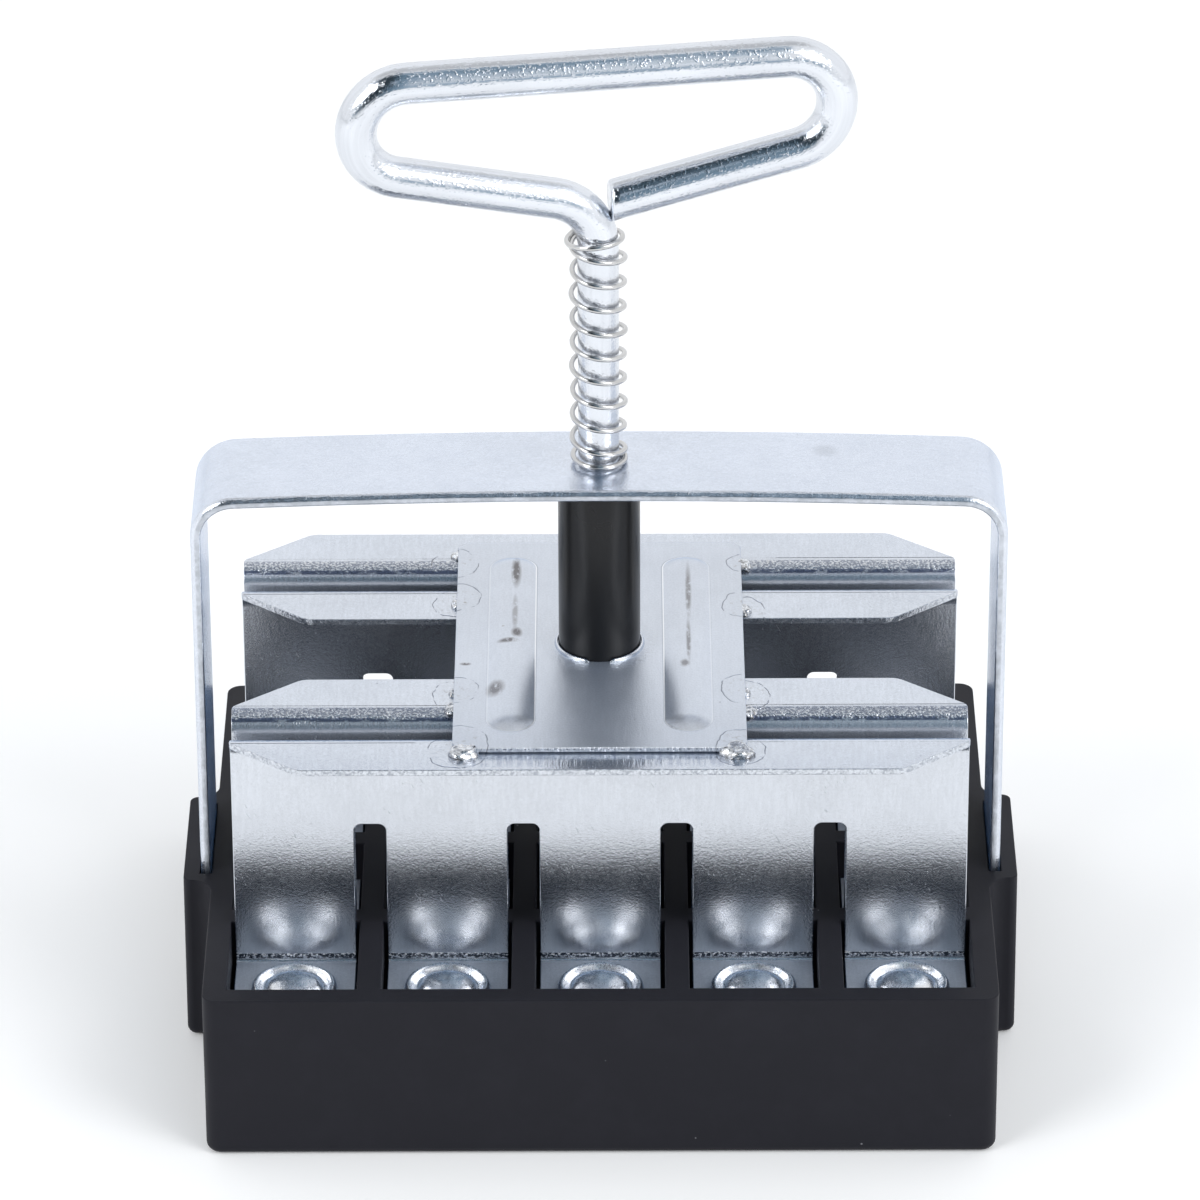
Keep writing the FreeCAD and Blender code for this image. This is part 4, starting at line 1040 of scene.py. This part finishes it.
def make_screws():
    """The two strap screws, with a cross recess in their pan heads."""
    sides = 64
    face_x, height = 61.6, 13.0
    arm_reach, arm_half_width, arm_depth, arm_root = 1.75, 0.42, 1.3, 0.6
    head = [(radius, 0.0) for radius in (0.0, 0.25, 0.5, 0.75, 1.0, 1.25, 1.5, 1.8)]
    profile = head + [(2.2, -0.06), (2.6, -0.22), (2.9, -0.5), (3.1, -0.85), (3.2, -1.3),
                      (3.2, -1.9), (1.5, -1.9), (1.5, -5.7), (1.1, -6.2)]
    # The profile runs from the head inward, so the faces are turned over.
    faces = [face[:1] + face[:0:-1] for face in tube(len(profile), sides)]
    screws = []
    for side in (-1, 1):
        points = []
        for radius, drop in profile:
            across = max(radius, 0.02)
            for step, (cosine, sine) in enumerate(circle(sides)):
                angle = math.tau * step / sides
                off_arm = abs((angle + math.pi / 4) % (math.pi / 2) - math.pi / 4) * across
                in_cross = radius < arm_root or off_arm < arm_half_width
                share = max(0.0, 1 - radius / arm_reach) if drop == 0.0 and in_cross else 0.0
                points.append((side * (face_x + drop - share * arm_depth),
                               across * cosine * side, height + across * sine))
        screws.append((points, faces))
    crease(add_piece("screw_pair", join(screws), SHEET_ZINC, "frame",
                     "strap_screws"), 30)


make_spring()
make_handle()
for node_name in list(nodes):
    if node_name.startswith("dimple_studs"):
        make_studs(node_name)
make_weld_beads()
make_bridge()
make_collar_lips()
make_screws()
make_strap()


# ---------------- floor, light and camera

# Brightness of the studio's white walls.
WHITE = 1.06


def make_floor():
    """Large pale floor."""
    mesh = bpy.data.meshes.new("floor")
    reach = 6.0
    corners = [(-reach, -reach, 0), (reach, -reach, 0), (reach, reach, 0), (-reach, reach, 0)]
    mesh.from_pydata(corners, [], [(0, 1, 2, 3)])
    floor = placed("floor", mesh)
    shader = Shader("floor_finish", {
        "Base Color": colour(0.93, 0.93, 0.93), "Roughness": 0.9, "Specular IOR Level": 0.1,
        "Emission Color": colour(1.0, 1.0, 1.0), "Emission Strength": 0.12})
    mesh.materials.append(shader.material)


def make_world():
    """White studio all round, with a dim gap in front between the two softboxes."""
    world = bpy.data.worlds.new("studio")
    bpy.context.scene.world = world
    world.use_nodes = True
    studio = Graph(world.node_tree)
    place = studio.node("ShaderNodeTexCoord").outputs["Generated"]
    left = studio.part(place, "X")
    aside = studio.math("ABSOLUTE", left)
    forward = studio.times(studio.part(place, "Y"), -1.0)
    rise = studio.math("ARCTAN2", studio.part(place, "Z"), forward)

    def fade(value, low, high, to_low, to_high):
        return studio.span(value, low, high, to_low, to_high, smooth=True)

    def climb(low, high, to_low=0, to_high=1):
        """Fade between two elevations in degrees, from the front over the top to the rear."""
        return fade(rise, math.radians(low), math.radians(high), to_low, to_high)

    gap = studio.times(fade(left, -0.62, -0.44, 0, 1), fade(left, 0.2, 0.3, 1, 0))
    low_edge = climb(-1, 2)
    dim = studio.times(low_edge, climb(82, 87, 1, 0), gap)
    strip = studio.times(climb(33, 37), climb(43, 47, 1, 0), fade(aside, 0.03, 0.06, 1, 0))
    dim = studio.times(dim, fade(strip, 0, 1, 1, 0.35))
    low_band = studio.times(climb(9, 16, 1, 0), low_edge, fade(aside, 0.55, 0.8, 1, 0), 0.8)
    dim = studio.most(dim, low_band)
    overhead = studio.times(climb(90, 94), climb(112, 132, 1, 0), fade(aside, 0.35, 0.75, 1, 0))

    darkest = fade(left, -0.17, 0.17, 0.05, 0.38)
    bright = studio.node("ShaderNodeMix", {0: dim, 2: WHITE, 3: darkest}, data_type="FLOAT")
    background = studio.node("ShaderNodeBackground", {
        "Color": studio.mix(dim, colour(0.965, 0.98, 1.0), colour(0.5, 0.76, 1.0)),
        "Strength": studio.times(bright.outputs[0], fade(overhead, 0, 1, 1.0, 0.62))})
    studio.node("ShaderNodeOutputWorld", {0: background.outputs[0]})


def make_softbox(name, across):
    """Upright light in front, off to one side, that faces the object."""
    light = bpy.data.lights.new(name, "AREA")
    light.shape = "RECTANGLE"
    light.size = 0.6
    light.size_y = 0.75
    light.energy = 6.2
    lamp = placed(name, light)
    lamp.location = (across, -0.72, 0.9)
    target = Vector((0, 0, 0.05))
    lamp.rotation_euler = (target - lamp.location).to_track_quat("-Z", "Y").to_euler()


def make_camera():
    """Camera at the photograph's viewing angle."""
    camera = bpy.data.cameras.new("camera")
    camera.sensor_width = 36.0
    camera.lens = 229.66
    camera.clip_start = 0.1
    camera.clip_end = 50
    item = placed("camera", camera)
    place = Vector((1.609, -992.383, 613.389)) * MM
    target = Vector((0.089, 0, 67.187)) * MM
    aim = (target - place).to_track_quat("-Z", "Y").to_matrix().to_4x4()
    roll = Matrix.Rotation(math.radians(-0.225), 4, "Z")
    item.matrix_world = Matrix.Translation(place) @ aim @ roll
    bpy.context.scene.camera = item


make_floor()
make_world()
make_softbox("left_softbox", -0.9)
make_softbox("right_softbox", 0.9)
make_camera()
bpy.context.scene.view_settings.view_transform = "Standard"
